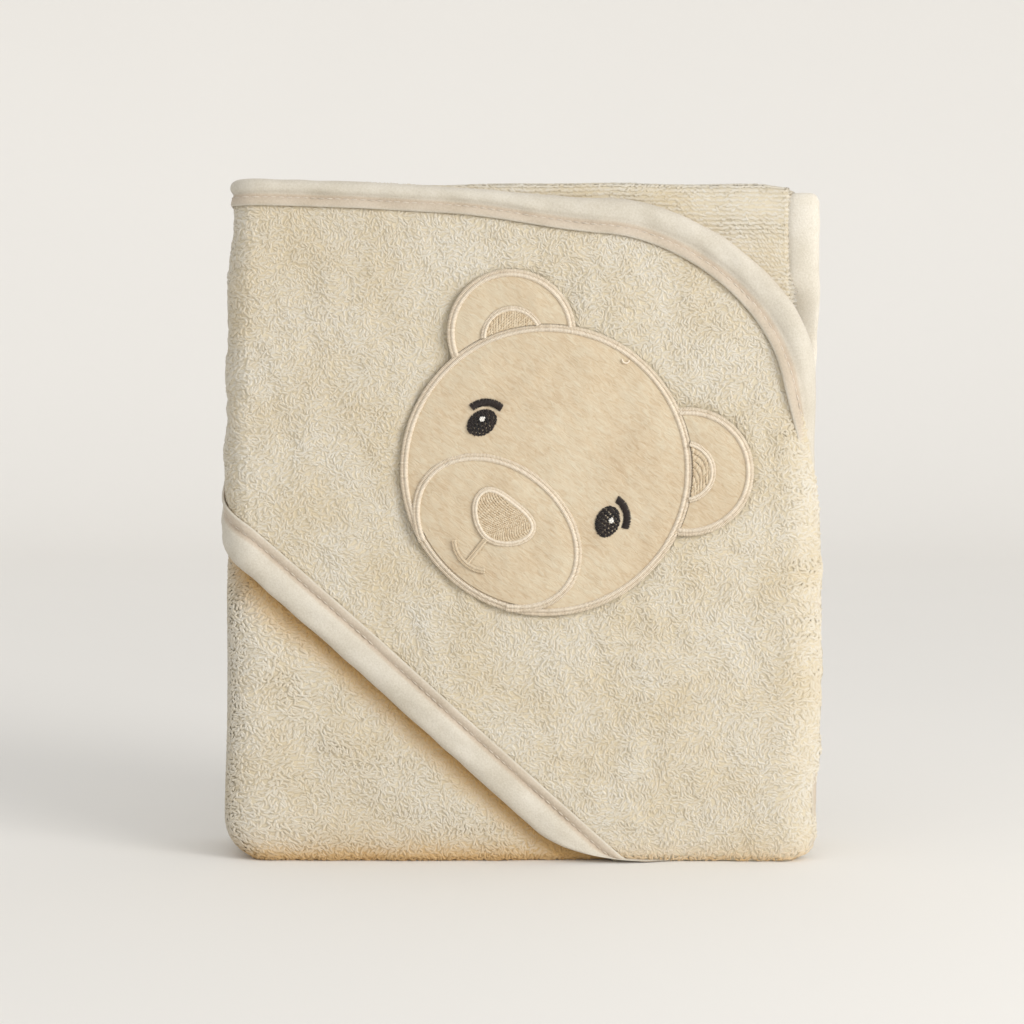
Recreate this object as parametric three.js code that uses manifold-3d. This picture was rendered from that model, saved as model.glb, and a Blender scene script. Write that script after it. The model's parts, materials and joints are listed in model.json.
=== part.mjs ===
// Hooded baby towel, folded into an upright bundle with the hood and its bear face outside.
// Millimetres, +Z up, the bear faces -Y, the origin is at the middle of the bundle's bottom.
import * as THREE from 'three';
import { mergeVertices } from 'three/addons/utils/BufferGeometryUtils.js';
import Module from 'manifold-3d';

const wasm = await Module();
wasm.setup();

// --- The folded core: four packs of towelling, book-folded, with slits between them ---
const CORE_LEFT = 101.4;      // from the middle to the core's left skin
const CORE_RIGHT = 102.4;     // to the skin at the right, where the front sheet's edge turns
const CORE_HEIGHT = 254;
const PACK_THICKNESS = 9.9;
const PACK_COUNT = 4;
const SLIT = 0.8;             // air between two packs
const LEFT_CORNER = 2;        // skin radius of both left corners
const RIGHT_CORNER = 6;       // skin radius where the front sheet turns to the right side
const BACK_FOLD_REACH = 5.6;  // how far the back packs' fold stands past the right skin
const BACK_FOLD_CORNER = 8;
const INNER_FOLD_DEPTH = 15.4; // from the left skin in to the inner fold
const BOUND_END_DEPTH = 2.2;  // how far the second pack's end lies inside the right skin
const BACK_FOLD = CORE_RIGHT + BACK_FOLD_REACH;
const INNER_FOLD = CORE_LEFT - INNER_FOLD_DEPTH;
const BOUND_END = CORE_RIGHT - BOUND_END_DEPTH;

// --- Sheets on the core ---
const SHEET = 4;              // towelling with its loops, slightly pressed
const HOOD_SHEET = 3.5;
const BACKING = 0.5;          // interlining behind the embroidery
const CLEAR = 0.3;            // between touching pieces
const NEUTRAL = 6;            // height over the skin at which a sheet keeps its length

// --- Binding tape: a soft roll round the edge and a flat band on the face ---
const ROLL_FULL = 10.5;
const ROLL_TURNED = 6.2;      // what faces forward where the roll turns over the top
const ROLL_TURN_FROM = -30;
const ROLL_TURN_TO = 62;
const BAND = 3.7;
const BAND_THICKNESS = 0.7;
const HOOD_ROLL = 10.5;
const HOOD_ROLL_THICKNESS = 6.2;
const ROLL_OVER_BAND = 0.2;   // how much the edge's roll stands over its band
const ROLL_SHOULDER = 0.86;   // across the roll, where it starts down to the band
const SHOULDER_SHARE = 0.3;   // of the way from the band up to the crown
const ROLL_LIP = 0.4;         // of the roll's half thickness, where it meets the cloth
const STITCH_WIDTH = 0.9;
const STITCH_HEIGHT = 0.5;
const STITCH_LIFT = 0.65;     // clear of the band's slope up to the roll
const STITCH_PLACE = 0.35;    // across the band, from the roll
const STITCH_END = 2.3;       // where the rows of thread stop over the ground
const BOUND_EDGE_THICKNESS = 8.2;
const BOUND_EDGE_ROLL = 9.4;
const BOUND_EDGE_DROP = 3;    // from the core's top down to the second edge's end
const BOUND_TURN_INSET = 2;   // how far the tape's turn below stays inside the second edge
const TAPE_END = 34;          // where the tape goes into the back fold, before its end

// --- Outline of the front sheet, spread flat: s runs to the right, z up ---
const TOP_EDGE_RISE = 1.5;    // the edge at the left, over the core's top
const CORNER_DROP = 5.6;      // the edge where its corner begins, under the core's top
const TOP_SLOPE_FROM = -100;
const TOP_SLOPE_POWER = 1.6;  // how late the top edge starts to fall
const CORNER_RADIUS = 84.6;
const CORNER_REACH = 94.2;    // from the corner's centre to the side edge
const CORNER_END = THREE.MathUtils.degToRad(14);
const SIDE_TUCK = 6.4;        // how far the side edge lies past the turn to the right side
const SIDE_TURN = (RIGHT_CORNER + NEUTRAL) * Math.PI / 2;
const SIDE_EDGE = CORE_RIGHT - RIGHT_CORNER + SIDE_TURN + SIDE_TUCK;
const TOP_EDGE = CORE_HEIGHT + TOP_EDGE_RISE;
const TOP_EDGE_AT_CORNER = CORE_HEIGHT - CORNER_DROP;
const CORNER_CENTRE = new THREE.Vector2(SIDE_EDGE - CORNER_REACH, TOP_EDGE_AT_CORNER - CORNER_RADIUS);

// --- Hood opening: a straight diagonal edge, falling to the right ---
const OPENING_SLOPE = 0.902;
const OPENING_FOOT = 18.9;    // where the line of the edge meets the ground
const FLOOR_GAP = 0.3;
const HOOD_TIP_GAP = 4;       // height of the hood's cloth at its far corner

// --- Bear face ---
const FACE_X = 9.4;
const FACE_Z = 147.4;
const FACE_TILT = THREE.MathUtils.degToRad(38.2);
const HEAD_RADIUS = 54.4;     // to the outside of its border
const BORDER = 3.1;           // satin stitch round the big patches
const EAR_INSET = 2;          // the ear's middle, inside the head's edge
const EAR_ANGLE = THREE.MathUtils.degToRad(37.5);
const EAR_RADIUS = 24;
const INNER_EAR_INSET = 1.6;  // the inner ear's middle, nearer the head than the ear's
const INNER_EAR_RADIUS = 11.8;
const INNER_BORDER = 2.2;
const MUZZLE_OVERLAP = 1.4;   // how far the muzzle's oval passes under the head's border
const MUZZLE_HALF_WIDTH = 34.5;
const MUZZLE_HALF_HEIGHT = 26.2;
const NOSE_X = -1.9;
const NOSE_RISE = 13.5;       // the nose's top, over the muzzle's middle
const NOSE_DROP = 4.9;        // its tip, under the muzzle's middle
const NOSE_HALF_WIDTH = 12.9;
const NOSE_SHOULDER = 6;      // its widest place, under its top
const NOSE_FLANK = 5;         // how far down the flanks stay steep
const NOSE_FULLNESS = 0.45;   // how flat its top and tip are, as a share of half its width
const NOSE_TIP_INSET = 1.3;   // how much faster an inner outline's tip draws in
const NOSE_SHOULDER_INSET = 0.4;
const NOSE_BORDER = 1.7;
const PHILTRUM_LENGTH = 11;
const PHILTRUM_WIDTH = 1.5;
const MOUTH_RADIUS = 12;
const MOUTH_FROM = THREE.MathUtils.degToRad(222);
const MOUTH_TO = THREE.MathUtils.degToRad(305);
const MOUTH_WIDTH = 1.5;
const EYE_X = 30;
const EYE_Y = -0.9;
const EYE_HALF_HEIGHT = 6;
const EYE_HALF_WIDTH = 4.6;
const EYE_LEAN = THREE.MathUtils.degToRad(17);
const HIGHLIGHT_RADIUS = 0.9;
const HIGHLIGHT_OUT = 0.8;    // from the eye's middle, outwards and up
const HIGHLIGHT_UP = 1.2;
const BROW_RADIUS = 8.5;
const BROW_WIDTH = 3.3;
const BROW_IN = 1.8;          // the arc's middle from the eye's, towards the nose and up
const BROW_UP = 0.3;
const BROW_FROM = THREE.MathUtils.degToRad(87);
const BROW_TO = THREE.MathUtils.degToRad(167);

// --- Heights of the appliqué over what it is sewn to ---
const PATCH = 1;
const SATIN = 1.4;
const SMALL_PATCH = 0.9;
const SMALL_SATIN = 1.3;
const FILL = 0.7;
const FILL_BORDER = 0.9;

// --- How finely the curves are cut ---
const FLAT_STEP = 12;
const TURN_STEPS = 6;
const CORNER_STEP = 4;
const CORNER_STEPS = 18;
const CLOSEST_ROWS = 0.4;
const ROLL_STEPS = 6;
const LEG_SHARES = [0.3, 0.6, 0.85];  // down the slanting end of the corner
const SIDE_SHARES = [0.12, 0.5, 1];   // from there down to the ground
const OPENING_STEP = 9;
const OPENING_TURN_STEP = 2.4;
const DISC_SEGMENTS = 24;
const OVAL_SEGMENTS = 12;
const CURVE_SEGMENTS = 8;
const DOT_SEGMENTS = 6;

const CORE_DEPTH = PACK_COUNT * PACK_THICKNESS + (PACK_COUNT - 1) * SLIT;
const FRONT_SKIN = -CORE_DEPTH / 2;
const BACKING_LEVEL = SHEET + CLEAR;
const HOOD_LEVEL = BACKING_LEVEL + BACKING + CLEAR;
const HOOD_FACE = HOOD_LEVEL + HOOD_SHEET;
const BAND_LEVEL = HOOD_FACE + CLEAR;
const BAND_TOP = BAND_LEVEL + BAND_THICKNESS;
const LAYER_ONE = HOOD_FACE + CLEAR;
const LAYER_TWO = LAYER_ONE + PATCH + CLEAR;
const LAYER_THREE = LAYER_TWO + SMALL_PATCH + CLEAR;
const MUZZLE_Y = MUZZLE_HALF_HEIGHT - HEAD_RADIUS - MUZZLE_OVERLAP;
const NOSE_TOP = MUZZLE_Y + NOSE_RISE;
const NOSE_TIP = MUZZLE_Y - NOSE_DROP;

const COLOURS = {
  terry: '#E6DCC3', tape: '#E6E1D5', thread: '#CFC3B8', velour: '#E5D1AB',
  satin: '#E8DCCB', taupe: '#CBBBA0', dark: '#231A16', white: '#F4EFE6', backing: '#EFEBE0',
};

// ---------- solids ----------

/** A closed geometry as a manifold solid. */
function solid(geometry) {
  const bare = geometry.clone();
  bare.deleteAttribute('normal');
  bare.deleteAttribute('uv');
  const merged = mergeVertices(bare, 1e-4);
  return new wasm.Manifold(new wasm.Mesh({
    numProp: 3,
    vertProperties: new Float32Array(merged.attributes.position.array),
    triVerts: new Uint32Array(merged.index.array),
  }));
}

/** A manifold solid as a geometry with flat faces. */
function geometryOf(manifold) {
  const mesh = manifold.getMesh();
  const geometry = new THREE.BufferGeometry();
  geometry.setAttribute('position', new THREE.BufferAttribute(mesh.vertProperties, mesh.numProp));
  geometry.setIndex(new THREE.BufferAttribute(mesh.triVerts, 1));
  const flat = geometry.toNonIndexed();
  flat.computeVertexNormals();
  return flat;
}

/** A named mesh with its own material. */
function piece(name, geometry, colour, roughness = 0.95) {
  const material = new THREE.MeshStandardMaterial({ color: COLOURS[colour], roughness, metalness: 0 });
  const mesh = new THREE.Mesh(geometry, material);
  mesh.name = name;
  return mesh;
}

/** Moves every vertex of a geometry through a function, keeping faces outward. */
function reshape(geometry, place) {
  const position = geometry.attributes.position;
  const point = new THREE.Vector3();
  for (let i = 0; i < position.count; i += 1) {
    point.fromBufferAttribute(position, i);
    place(point);
    position.setXYZ(i, point.x, point.y, point.z);
  }
  geometry.computeVertexNormals();
  return geometry;
}

// ---------- the way round the bundle ----------

/** The stretches of the core's skin, from the front's middle to the right and to the left. */
function skinStretches() {
  const leftStraight = CORE_LEFT - LEFT_CORNER;
  const rightStraight = CORE_RIGHT - RIGHT_CORNER;
  const sideLength = CORE_DEPTH - 2 * LEFT_CORNER;
  const backStraight = leftStraight + BACK_FOLD - BACK_FOLD_CORNER;
  const right = [
    { length: rightStraight },
    { turn: RIGHT_CORNER },
    { length: CORE_DEPTH },
  ];
  const left = [
    { length: leftStraight },
    { turn: LEFT_CORNER },
    { length: sideLength },
    { turn: LEFT_CORNER },
    { length: backStraight },
    { turn: BACK_FOLD_CORNER },
  ];
  return { right, left };
}

/** The whole way from the front's middle round the left side to the end of the back's fold. */
function wayRoundLeft() {
  return skinStretches().left.reduce((sum, stretch) => (
    sum + (stretch.length ?? (stretch.turn + NEUTRAL) * Math.PI / 2)), 0);
}

/** Walks round the skin: s along it at the neutral height, t out from it. */
function wrap(s, t) {
  const side = s < 0 ? -1 : 1;
  const stretches = s < 0 ? skinStretches().left : skinStretches().right;
  let remaining = Math.abs(s);
  let heading = 0;
  const foot = new THREE.Vector2(0, FRONT_SKIN);
  const ahead = new THREE.Vector2();
  const outward = new THREE.Vector2();
  for (const stretch of stretches) {
    ahead.set(side * Math.cos(heading), Math.sin(heading));
    outward.set(side * Math.sin(heading), -Math.cos(heading));
    if (stretch.turn === undefined) {
      const walked = Math.min(remaining, stretch.length);
      foot.addScaledVector(ahead, walked);
      remaining -= walked;
    } else {
      const angle = Math.min(remaining / (stretch.turn + NEUTRAL), Math.PI / 2);
      const centre = foot.clone().addScaledVector(outward, -stretch.turn);
      heading += angle;
      outward.set(side * Math.sin(heading), -Math.cos(heading));
      foot.copy(centre).addScaledVector(outward, stretch.turn);
      remaining -= angle * (stretch.turn + NEUTRAL);
    }
    if (remaining <= 1e-9) {
      break;
    }
  }
  return foot.addScaledVector(outward, t);
}

/** Where along s a sheet needs a row of points: close at the turns, wide on the flats. */
function stations(from, to) {
  const { right, left } = skinStretches();
  const found = new Set([from, to]);
  const add = (s) => {
    if (s > from && s < to) {
      found.add(Number(s.toFixed(3)));
    }
  };
  for (const [side, list] of [[1, right], [-1, left]]) {
    let at = 0;
    for (const stretch of list) {
      const turned = stretch.turn === undefined ? 0 : (stretch.turn + NEUTRAL) * Math.PI / 2;
      const length = stretch.length ?? turned;
      const steps = stretch.turn === undefined ? Math.ceil(length / FLAT_STEP) : TURN_STEPS;
      for (let i = 0; i <= steps; i += 1) {
        add(side * (at + length * i / steps));
      }
      at += length;
    }
  }
  for (let s = CORNER_CENTRE.x; s < to; s += CORNER_STEP) {
    add(s);
  }
  const sorted = [...found].sort((a, b) => a - b);
  return sorted.filter((s, i, all) => i === 0 || s - all[i - 1] > CLOSEST_ROWS);
}

// ---------- outline of the front sheet ----------

/** How much of the edge roll faces forward at s. */
function rollWidth(s) {
  const share = THREE.MathUtils.smoothstep(s, ROLL_TURN_FROM, ROLL_TURN_TO);
  return THREE.MathUtils.lerp(ROLL_TURNED, ROLL_FULL, share);
}

/** Height of the sheet's top edge at s, set in by a distance. */
function topAt(s, inset) {
  const start = CORNER_CENTRE.x;
  const slopeShare = THREE.MathUtils.clamp((s - TOP_SLOPE_FROM) / (start - TOP_SLOPE_FROM), 0, 1);
  const straight = TOP_EDGE + (TOP_EDGE_AT_CORNER - TOP_EDGE) * slopeShare ** TOP_SLOPE_POWER;
  if (s <= start) {
    return straight - inset;
  }
  const radius = CORNER_RADIUS - inset;
  const legStart = CORNER_CENTRE.x + radius * Math.cos(CORNER_END);
  if (s <= legStart) {
    return CORNER_CENTRE.y + Math.sqrt(radius ** 2 - (s - CORNER_CENTRE.x) ** 2);
  }
  const legTop = CORNER_CENTRE.y + radius * Math.sin(CORNER_END);
  return legTop - (s - legStart) / Math.tan(CORNER_END);
}

/** Points of the edge with their outward directions, from the right side's foot round to the back. */
function edgePath(fromS, floor) {
  const path = [];
  const flat = stations(fromS, CORNER_CENTRE.x);
  for (const s of flat) {
    path.push({ at: new THREE.Vector2(s, topAt(s, 0)), out: new THREE.Vector2(0, 1) });
  }
  for (let i = 1; i <= CORNER_STEPS; i += 1) {
    const angle = THREE.MathUtils.lerp(Math.PI / 2, CORNER_END, i / CORNER_STEPS);
    const out = new THREE.Vector2(Math.cos(angle), Math.sin(angle));
    path.push({ at: CORNER_CENTRE.clone().addScaledVector(out, CORNER_RADIUS), out });
  }
  const legTop = path[path.length - 1].at.clone();
  const legLength = (SIDE_EDGE - legTop.x) / Math.sin(CORNER_END);
  const along = new THREE.Vector2(Math.sin(CORNER_END), -Math.cos(CORNER_END));
  const legOut = new THREE.Vector2(Math.cos(CORNER_END), Math.sin(CORNER_END));
  for (const share of LEG_SHARES) {
    path.push({ at: legTop.clone().addScaledVector(along, legLength * share), out: legOut });
  }
  const foot = legTop.clone().addScaledVector(along, legLength);
  const half = CORNER_END / 2;
  path.push({ at: foot, out: new THREE.Vector2(Math.cos(half), Math.sin(half)) });
  for (const share of SIDE_SHARES) {
    const z = THREE.MathUtils.lerp(foot.y, floor, share);
    path.push({ at: new THREE.Vector2(SIDE_EDGE, z), out: new THREE.Vector2(1, 0) });
  }
  return path.reverse();
}

/** Height of the hood opening's outer edge at s, raised by a distance across the edge. */
function openingAt(s, inset) {
  return (OPENING_FOOT - s) * OPENING_SLOPE + inset * Math.hypot(1, OPENING_SLOPE);
}

// ---------- builders ----------

/** A wrapped sheet between two heights over the skin and two edges. */
function wrappedSheet(rows, low, high, inner, outer) {
  const box = new THREE.BoxGeometry(1, 1, 1, rows.length - 1, 2, 1);
  return reshape(box, (point) => {
    const column = Math.round((point.x + 0.5) * (rows.length - 1));
    const s = rows[column];
    const z = THREE.MathUtils.lerp(low(s), high(s), point.y + 0.5);
    const place = wrap(s, point.z > 0 ? outer : inner);
    point.set(place.x, place.y, z);
  });
}

/** A section swept along an edge: n runs in from the edge, t out from the skin. */
function sweptSection(section, path, scaleInset = () => 1) {
  const shape = new THREE.Shape(section.map(([n, t]) => new THREE.Vector2(n, t)));
  const bar = new THREE.ExtrudeGeometry(shape, { depth: 1, steps: path.length - 1, bevelEnabled: false });
  return reshape(bar, (point) => {
    const station = path[Math.round(point.z * (path.length - 1))];
    const inset = point.x * scaleInset(station.at.x, point.x);
    const flat = station.at.clone().addScaledVector(station.out, -inset);
    const place = wrap(flat.x, point.y);
    point.set(place.x, place.y, flat.y);
  });
}

/** The section of a binding: a soft roll from one height to another, with a band on the face. */
function bindingSection(roll, low, high, bandLow) {
  const middle = (low + high) / 2;
  const half = (high - low) / 2;
  const points = [];
  for (let i = 0; i <= ROLL_STEPS; i += 1) {
    const angle = THREE.MathUtils.lerp(-Math.PI / 2, Math.PI / 2, i / ROLL_STEPS);
    const reach = roll * 0.5;
    points.push([reach - reach * Math.cos(angle), middle + half * Math.sin(angle)]);
  }
  const top = bandLow + BAND_THICKNESS;
  points.push([roll * ROLL_SHOULDER, THREE.MathUtils.lerp(top, high, SHOULDER_SHARE)]);
  points.push([roll + BAND, top]);
  points.push([roll + BAND, bandLow]);
  points.push([roll, bandLow]);
  points.push([roll, low + half * ROLL_LIP]);
  return points;
}

/** A box from its low corner to its high corner. */
function boxBetween(low, high) {
  const size = new THREE.Vector3().subVectors(high, low);
  const box = new THREE.BoxGeometry(size.x, size.y, size.z);
  return box.translate((low.x + high.x) / 2, (low.y + high.y) / 2, (low.z + high.z) / 2);
}

/** The outline of the folded packs seen from above, with the slits between them. */
function coreOutline() {
  const front = FRONT_SKIN;
  const back = -front;
  const pitch = PACK_THICKNESS + SLIT;
  const firstBack = front + PACK_THICKNESS;
  const secondFront = firstBack + SLIT;
  const secondBack = secondFront + PACK_THICKNESS;
  const thirdFront = secondBack + SLIT;
  const thirdBack = thirdFront + PACK_THICKNESS;
  const fourthFront = thirdBack + SLIT;
  const round = BACK_FOLD_CORNER;
  const wide = round + SLIT;
  const outline = new THREE.Shape();
  outline.moveTo(CORE_RIGHT, firstBack);
  outline.lineTo(CORE_RIGHT, front + RIGHT_CORNER);
  outline.absarc(CORE_RIGHT - RIGHT_CORNER, front + RIGHT_CORNER, RIGHT_CORNER, 0, -Math.PI / 2, true);
  outline.lineTo(-CORE_LEFT + LEFT_CORNER, front);
  outline.absarc(-CORE_LEFT + LEFT_CORNER, front + LEFT_CORNER, LEFT_CORNER, -Math.PI / 2, -Math.PI, true);
  outline.lineTo(-CORE_LEFT, back - LEFT_CORNER);
  outline.absarc(-CORE_LEFT + LEFT_CORNER, back - LEFT_CORNER, LEFT_CORNER, Math.PI, Math.PI / 2, true);
  outline.lineTo(BACK_FOLD - round, back);
  outline.absarc(BACK_FOLD - round, back - round, round, Math.PI / 2, 0, true);
  outline.lineTo(BACK_FOLD, thirdFront + round);
  outline.absarc(BACK_FOLD - round, thirdFront + round, round, 0, -Math.PI / 2, true);
  outline.lineTo(-INNER_FOLD + pitch, thirdFront);
  outline.absarc(-INNER_FOLD + pitch, 0, SLIT / 2, Math.PI / 2, 3 * Math.PI / 2, false);
  outline.lineTo(BOUND_END, secondBack);
  outline.lineTo(BOUND_END, secondFront);
  outline.lineTo(-INNER_FOLD + round, secondFront);
  outline.absarc(-INNER_FOLD + round, secondFront + round, round, -Math.PI / 2, -Math.PI, true);
  outline.lineTo(-INNER_FOLD, thirdBack - round);
  outline.absarc(-INNER_FOLD + round, thirdBack - round, round, Math.PI, Math.PI / 2, true);
  outline.lineTo(BOUND_END - pitch, thirdBack);
  outline.absarc(BOUND_END - pitch, thirdBack + SLIT / 2, SLIT / 2, -Math.PI / 2, Math.PI / 2, false);
  outline.lineTo(-INNER_FOLD + round, fourthFront);
  outline.absarc(-INNER_FOLD + round, fourthFront - wide, wide, Math.PI / 2, Math.PI, false);
  outline.lineTo(-INNER_FOLD - SLIT, secondFront + round);
  outline.absarc(-INNER_FOLD + round, firstBack + wide, wide, Math.PI, 3 * Math.PI / 2, false);
  outline.lineTo(CORE_RIGHT, firstBack);
  return outline;
}

/** The towel: its folded packs and, joined to them, the sheet that the hood is sewn to. */
function towelBody() {
  const core = new THREE.ExtrudeGeometry(coreOutline(), {
    depth: CORE_HEIGHT, steps: 1, bevelEnabled: false, curveSegments: 6,
  });
  const rows = stations(-wayRoundLeft(), SIDE_EDGE - ROLL_FULL - CLEAR);
  const high = (s) => topAt(s, rollWidth(s) + CLEAR);
  const sunk = 0.4;
  const sheet = wrappedSheet(rows, () => 0, high, -sunk, SHEET);
  return geometryOf(solid(core).add(solid(sheet)));
}

/** The second layer of cloth that makes the hood: a right-angled corner with a diagonal opening. */
function hoodPanel() {
  const tip = hoodTip(HOOD_ROLL + ROLL_TURNED + 2 * CLEAR + HOOD_TIP_GAP);
  const rows = stations(tip, SIDE_EDGE - ROLL_FULL - CLEAR);
  const low = (s) => Math.max(FLOOR_GAP, openingAt(s, HOOD_ROLL + CLEAR));
  const high = (s) => topAt(s, rollWidth(s) + CLEAR);
  return wrappedSheet(rows, low, high, HOOD_LEVEL, HOOD_FACE);
}

/** Where the opening comes within a distance of the top edge. */
function hoodTip(distance) {
  return OPENING_FOOT - (TOP_EDGE - distance) / OPENING_SLOPE;
}

/** The stretch of tape along the edge of the sheet that lies second, seen behind the front one. */
function innerEdgeTape() {
  const low = CLEAR + BOUND_END;
  const radius = BOUND_EDGE_THICKNESS / 2;
  const yBack = FRONT_SKIN + 2 * PACK_THICKNESS + 1.5 * SLIT;
  const section = new THREE.Shape();
  section.moveTo(low, yBack);
  section.lineTo(low, yBack - BOUND_EDGE_THICKNESS);
  section.lineTo(low + BOUND_EDGE_ROLL - radius, yBack - BOUND_EDGE_THICKNESS);
  section.absarc(low + BOUND_EDGE_ROLL - radius, yBack - radius, radius, -Math.PI / 2, Math.PI / 2, false);
  section.lineTo(low, yBack);
  const bar = new THREE.ExtrudeGeometry(section, {
    depth: CORE_HEIGHT - BOUND_EDGE_DROP - FLOOR_GAP, steps: 1, bevelEnabled: false, curveSegments: 5,
  });
  return solid(bar.translate(0, 0, FLOOR_GAP));
}

/** The tape's turn under the bottom fold, from the front sheet's edge to the second one's. */
function tapeTurn() {
  const reach = BOUND_EDGE_THICKNESS;
  const yBack = FRONT_SKIN + 2 * PACK_THICKNESS + SLIT;
  const front = wrap(SIDE_EDGE - ROLL_FULL / 2, BAND_LEVEL);
  const low = new THREE.Vector3(CORE_RIGHT + 3 * CLEAR, front.y, FLOOR_GAP);
  const high = new THREE.Vector3(BOUND_END + BOUND_EDGE_ROLL - BOUND_TURN_INSET, yBack - reach / 2, reach);
  return solid(boxBetween(low, high));
}

/** The binding round the towel's edge: back, left side, front, corner and down the right side. */
function edgeBinding() {
  const path = edgePath(TAPE_END - wayRoundLeft(), FLOOR_GAP);
  const section = bindingSection(ROLL_FULL, CLEAR, BAND_TOP + ROLL_OVER_BAND, BAND_LEVEL);
  const narrow = (s, n) => {
    const roll = rollWidth(s);
    return n <= ROLL_FULL ? roll / ROLL_FULL : (n - ROLL_FULL + roll) / n;
  };
  const tape = solid(sweptSection(section, path, narrow));
  return geometryOf(tape.add(tapeTurn()).add(innerEdgeTape()));
}

/** The hood opening's edge, from the back down to the ground, with its outward direction. */
function openingPath(fromS, toS, inset) {
  const length = Math.hypot(1, OPENING_SLOPE);
  const out = new THREE.Vector2(-OPENING_SLOPE / length, -1 / length);
  const reach = HOOD_ROLL + BAND + OPENING_STEP;
  const turnsFrom = -CORE_LEFT - CORE_DEPTH - 2 * (LEFT_CORNER + NEUTRAL) - reach;
  const turnsTo = -CORE_LEFT + LEFT_CORNER + reach;
  const rows = [];
  let s = fromS;
  while (s < toS) {
    rows.push(s);
    s += s > turnsFrom && s < turnsTo ? OPENING_TURN_STEP : OPENING_STEP;
  }
  rows.push(toS);
  return rows.map((row) => ({ at: new THREE.Vector2(row, openingAt(row, inset)), out }));
}

/** The binding of the hood's opening, cut level just over the ground. */
function hoodBinding() {
  const start = hoodTip(ROLL_TURNED + BAND + HOOD_ROLL + BAND);
  const path = openingPath(start, OPENING_FOOT + HOOD_ROLL + BAND, 0);
  const low = SHEET + CLEAR;
  const section = bindingSection(HOOD_ROLL, low, low + HOOD_ROLL_THICKNESS, BAND_LEVEL);
  const below = boxBetween(
    new THREE.Vector3(-BACK_FOLD, FRONT_SKIN * 2, -BACK_FOLD),
    new THREE.Vector3(BACK_FOLD, -FRONT_SKIN * 2, FLOOR_GAP),
  );
  return geometryOf(solid(sweptSection(section, path)).subtract(solid(below)));
}

/** Topstitching on a binding's band: one raised row of thread. */
function stitchSection(inset, level) {
  return [
    [inset, level], [inset, level + STITCH_HEIGHT],
    [inset + STITCH_WIDTH, level + STITCH_HEIGHT], [inset + STITCH_WIDTH, level],
  ];
}

/** The row of thread along the towel's edge. */
function edgeStitch() {
  const from = TAPE_END + STITCH_END - wayRoundLeft();
  const level = BAND_TOP + STITCH_LIFT;
  const inset = ROLL_FULL + BAND * STITCH_PLACE;
  const narrow = (s, n) => (n - ROLL_FULL + rollWidth(s)) / n;
  return sweptSection(stitchSection(inset, level), edgePath(from, STITCH_END), narrow);
}

/** The row of thread along the hood's opening, ending just over the ground. */
function hoodStitch() {
  const start = hoodTip(ROLL_TURNED + BAND + HOOD_ROLL + 2 * BAND);
  const inset = HOOD_ROLL + BAND * STITCH_PLACE;
  const level = BAND_TOP + STITCH_LIFT;
  const drop = inset / Math.hypot(1, OPENING_SLOPE) - STITCH_END;
  const path = openingPath(start, OPENING_FOOT + drop / OPENING_SLOPE, 0);
  return sweptSection(stitchSection(inset, level), path);
}

// ---------- the bear, in its own plane: x to the right of the face, y up it ----------

/** A round outline. */
function disc(radius, x = 0, y = 0) {
  const shape = new THREE.Shape();
  shape.absarc(x, y, radius, 0, Math.PI * 2, false);
  return shape;
}

/** An oval outline, leaning to one side. */
function oval(halfWidth, halfHeight, x, y, lean = 0) {
  const shape = new THREE.Shape();
  shape.absellipse(x, y, halfWidth, halfHeight, 0, Math.PI * 2, false, lean);
  return shape;
}

/** A flat solid of one shape. */
function slab(shape, thickness, segments = DISC_SEGMENTS) {
  return new THREE.ExtrudeGeometry(shape, {
    depth: thickness, steps: 1, bevelEnabled: false, curveSegments: segments,
  });
}

/** A flat solid of one shape with others cut out of it. */
function cutSlab(shape, thickness, ...cutters) {
  let made = solid(slab(shape, thickness));
  for (const cutter of cutters) {
    made = made.subtract(solid(slab(cutter, 3 * thickness).translate(0, 0, -thickness)));
  }
  return geometryOf(made);
}

/** A round-ended band along an arc. */
function arcBand(x, y, radius, width, from, to) {
  const half = width / 2;
  const shape = new THREE.Shape();
  shape.absarc(x, y, radius + half, from, to, false);
  const end = new THREE.Vector2(x + radius * Math.cos(to), y + radius * Math.sin(to));
  shape.absarc(end.x, end.y, half, to, to + Math.PI, false);
  shape.absarc(x, y, radius - half, to, from, true);
  const start = new THREE.Vector2(x + radius * Math.cos(from), y + radius * Math.sin(from));
  shape.absarc(start.x, start.y, half, from + Math.PI, from + 2 * Math.PI, false);
  return shape;
}

/** The nose: wide and round at the top, drawn in to a blunt tip, set in by a distance. */
function noseShape(inset) {
  const half = NOSE_HALF_WIDTH - inset;
  const top = NOSE_TOP - inset;
  const tip = NOSE_TIP + inset * NOSE_TIP_INSET;
  const shoulder = top - NOSE_SHOULDER + inset * NOSE_SHOULDER_INSET;
  const flank = shoulder - NOSE_FLANK;
  const full = half * NOSE_FULLNESS;
  const shape = new THREE.Shape();
  shape.moveTo(NOSE_X, tip);
  shape.bezierCurveTo(NOSE_X + full, tip, NOSE_X + half, flank, NOSE_X + half, shoulder);
  shape.bezierCurveTo(NOSE_X + half, top, NOSE_X + full, top, NOSE_X, top);
  shape.bezierCurveTo(NOSE_X - full, top, NOSE_X - half, top, NOSE_X - half, shoulder);
  shape.bezierCurveTo(NOSE_X - half, flank, NOSE_X - full, tip, NOSE_X, tip);
  return shape;
}

/** Puts a mesh at a height over the skin. */
function at(level, mesh) {
  mesh.position.z = level;
  return mesh;
}

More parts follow.
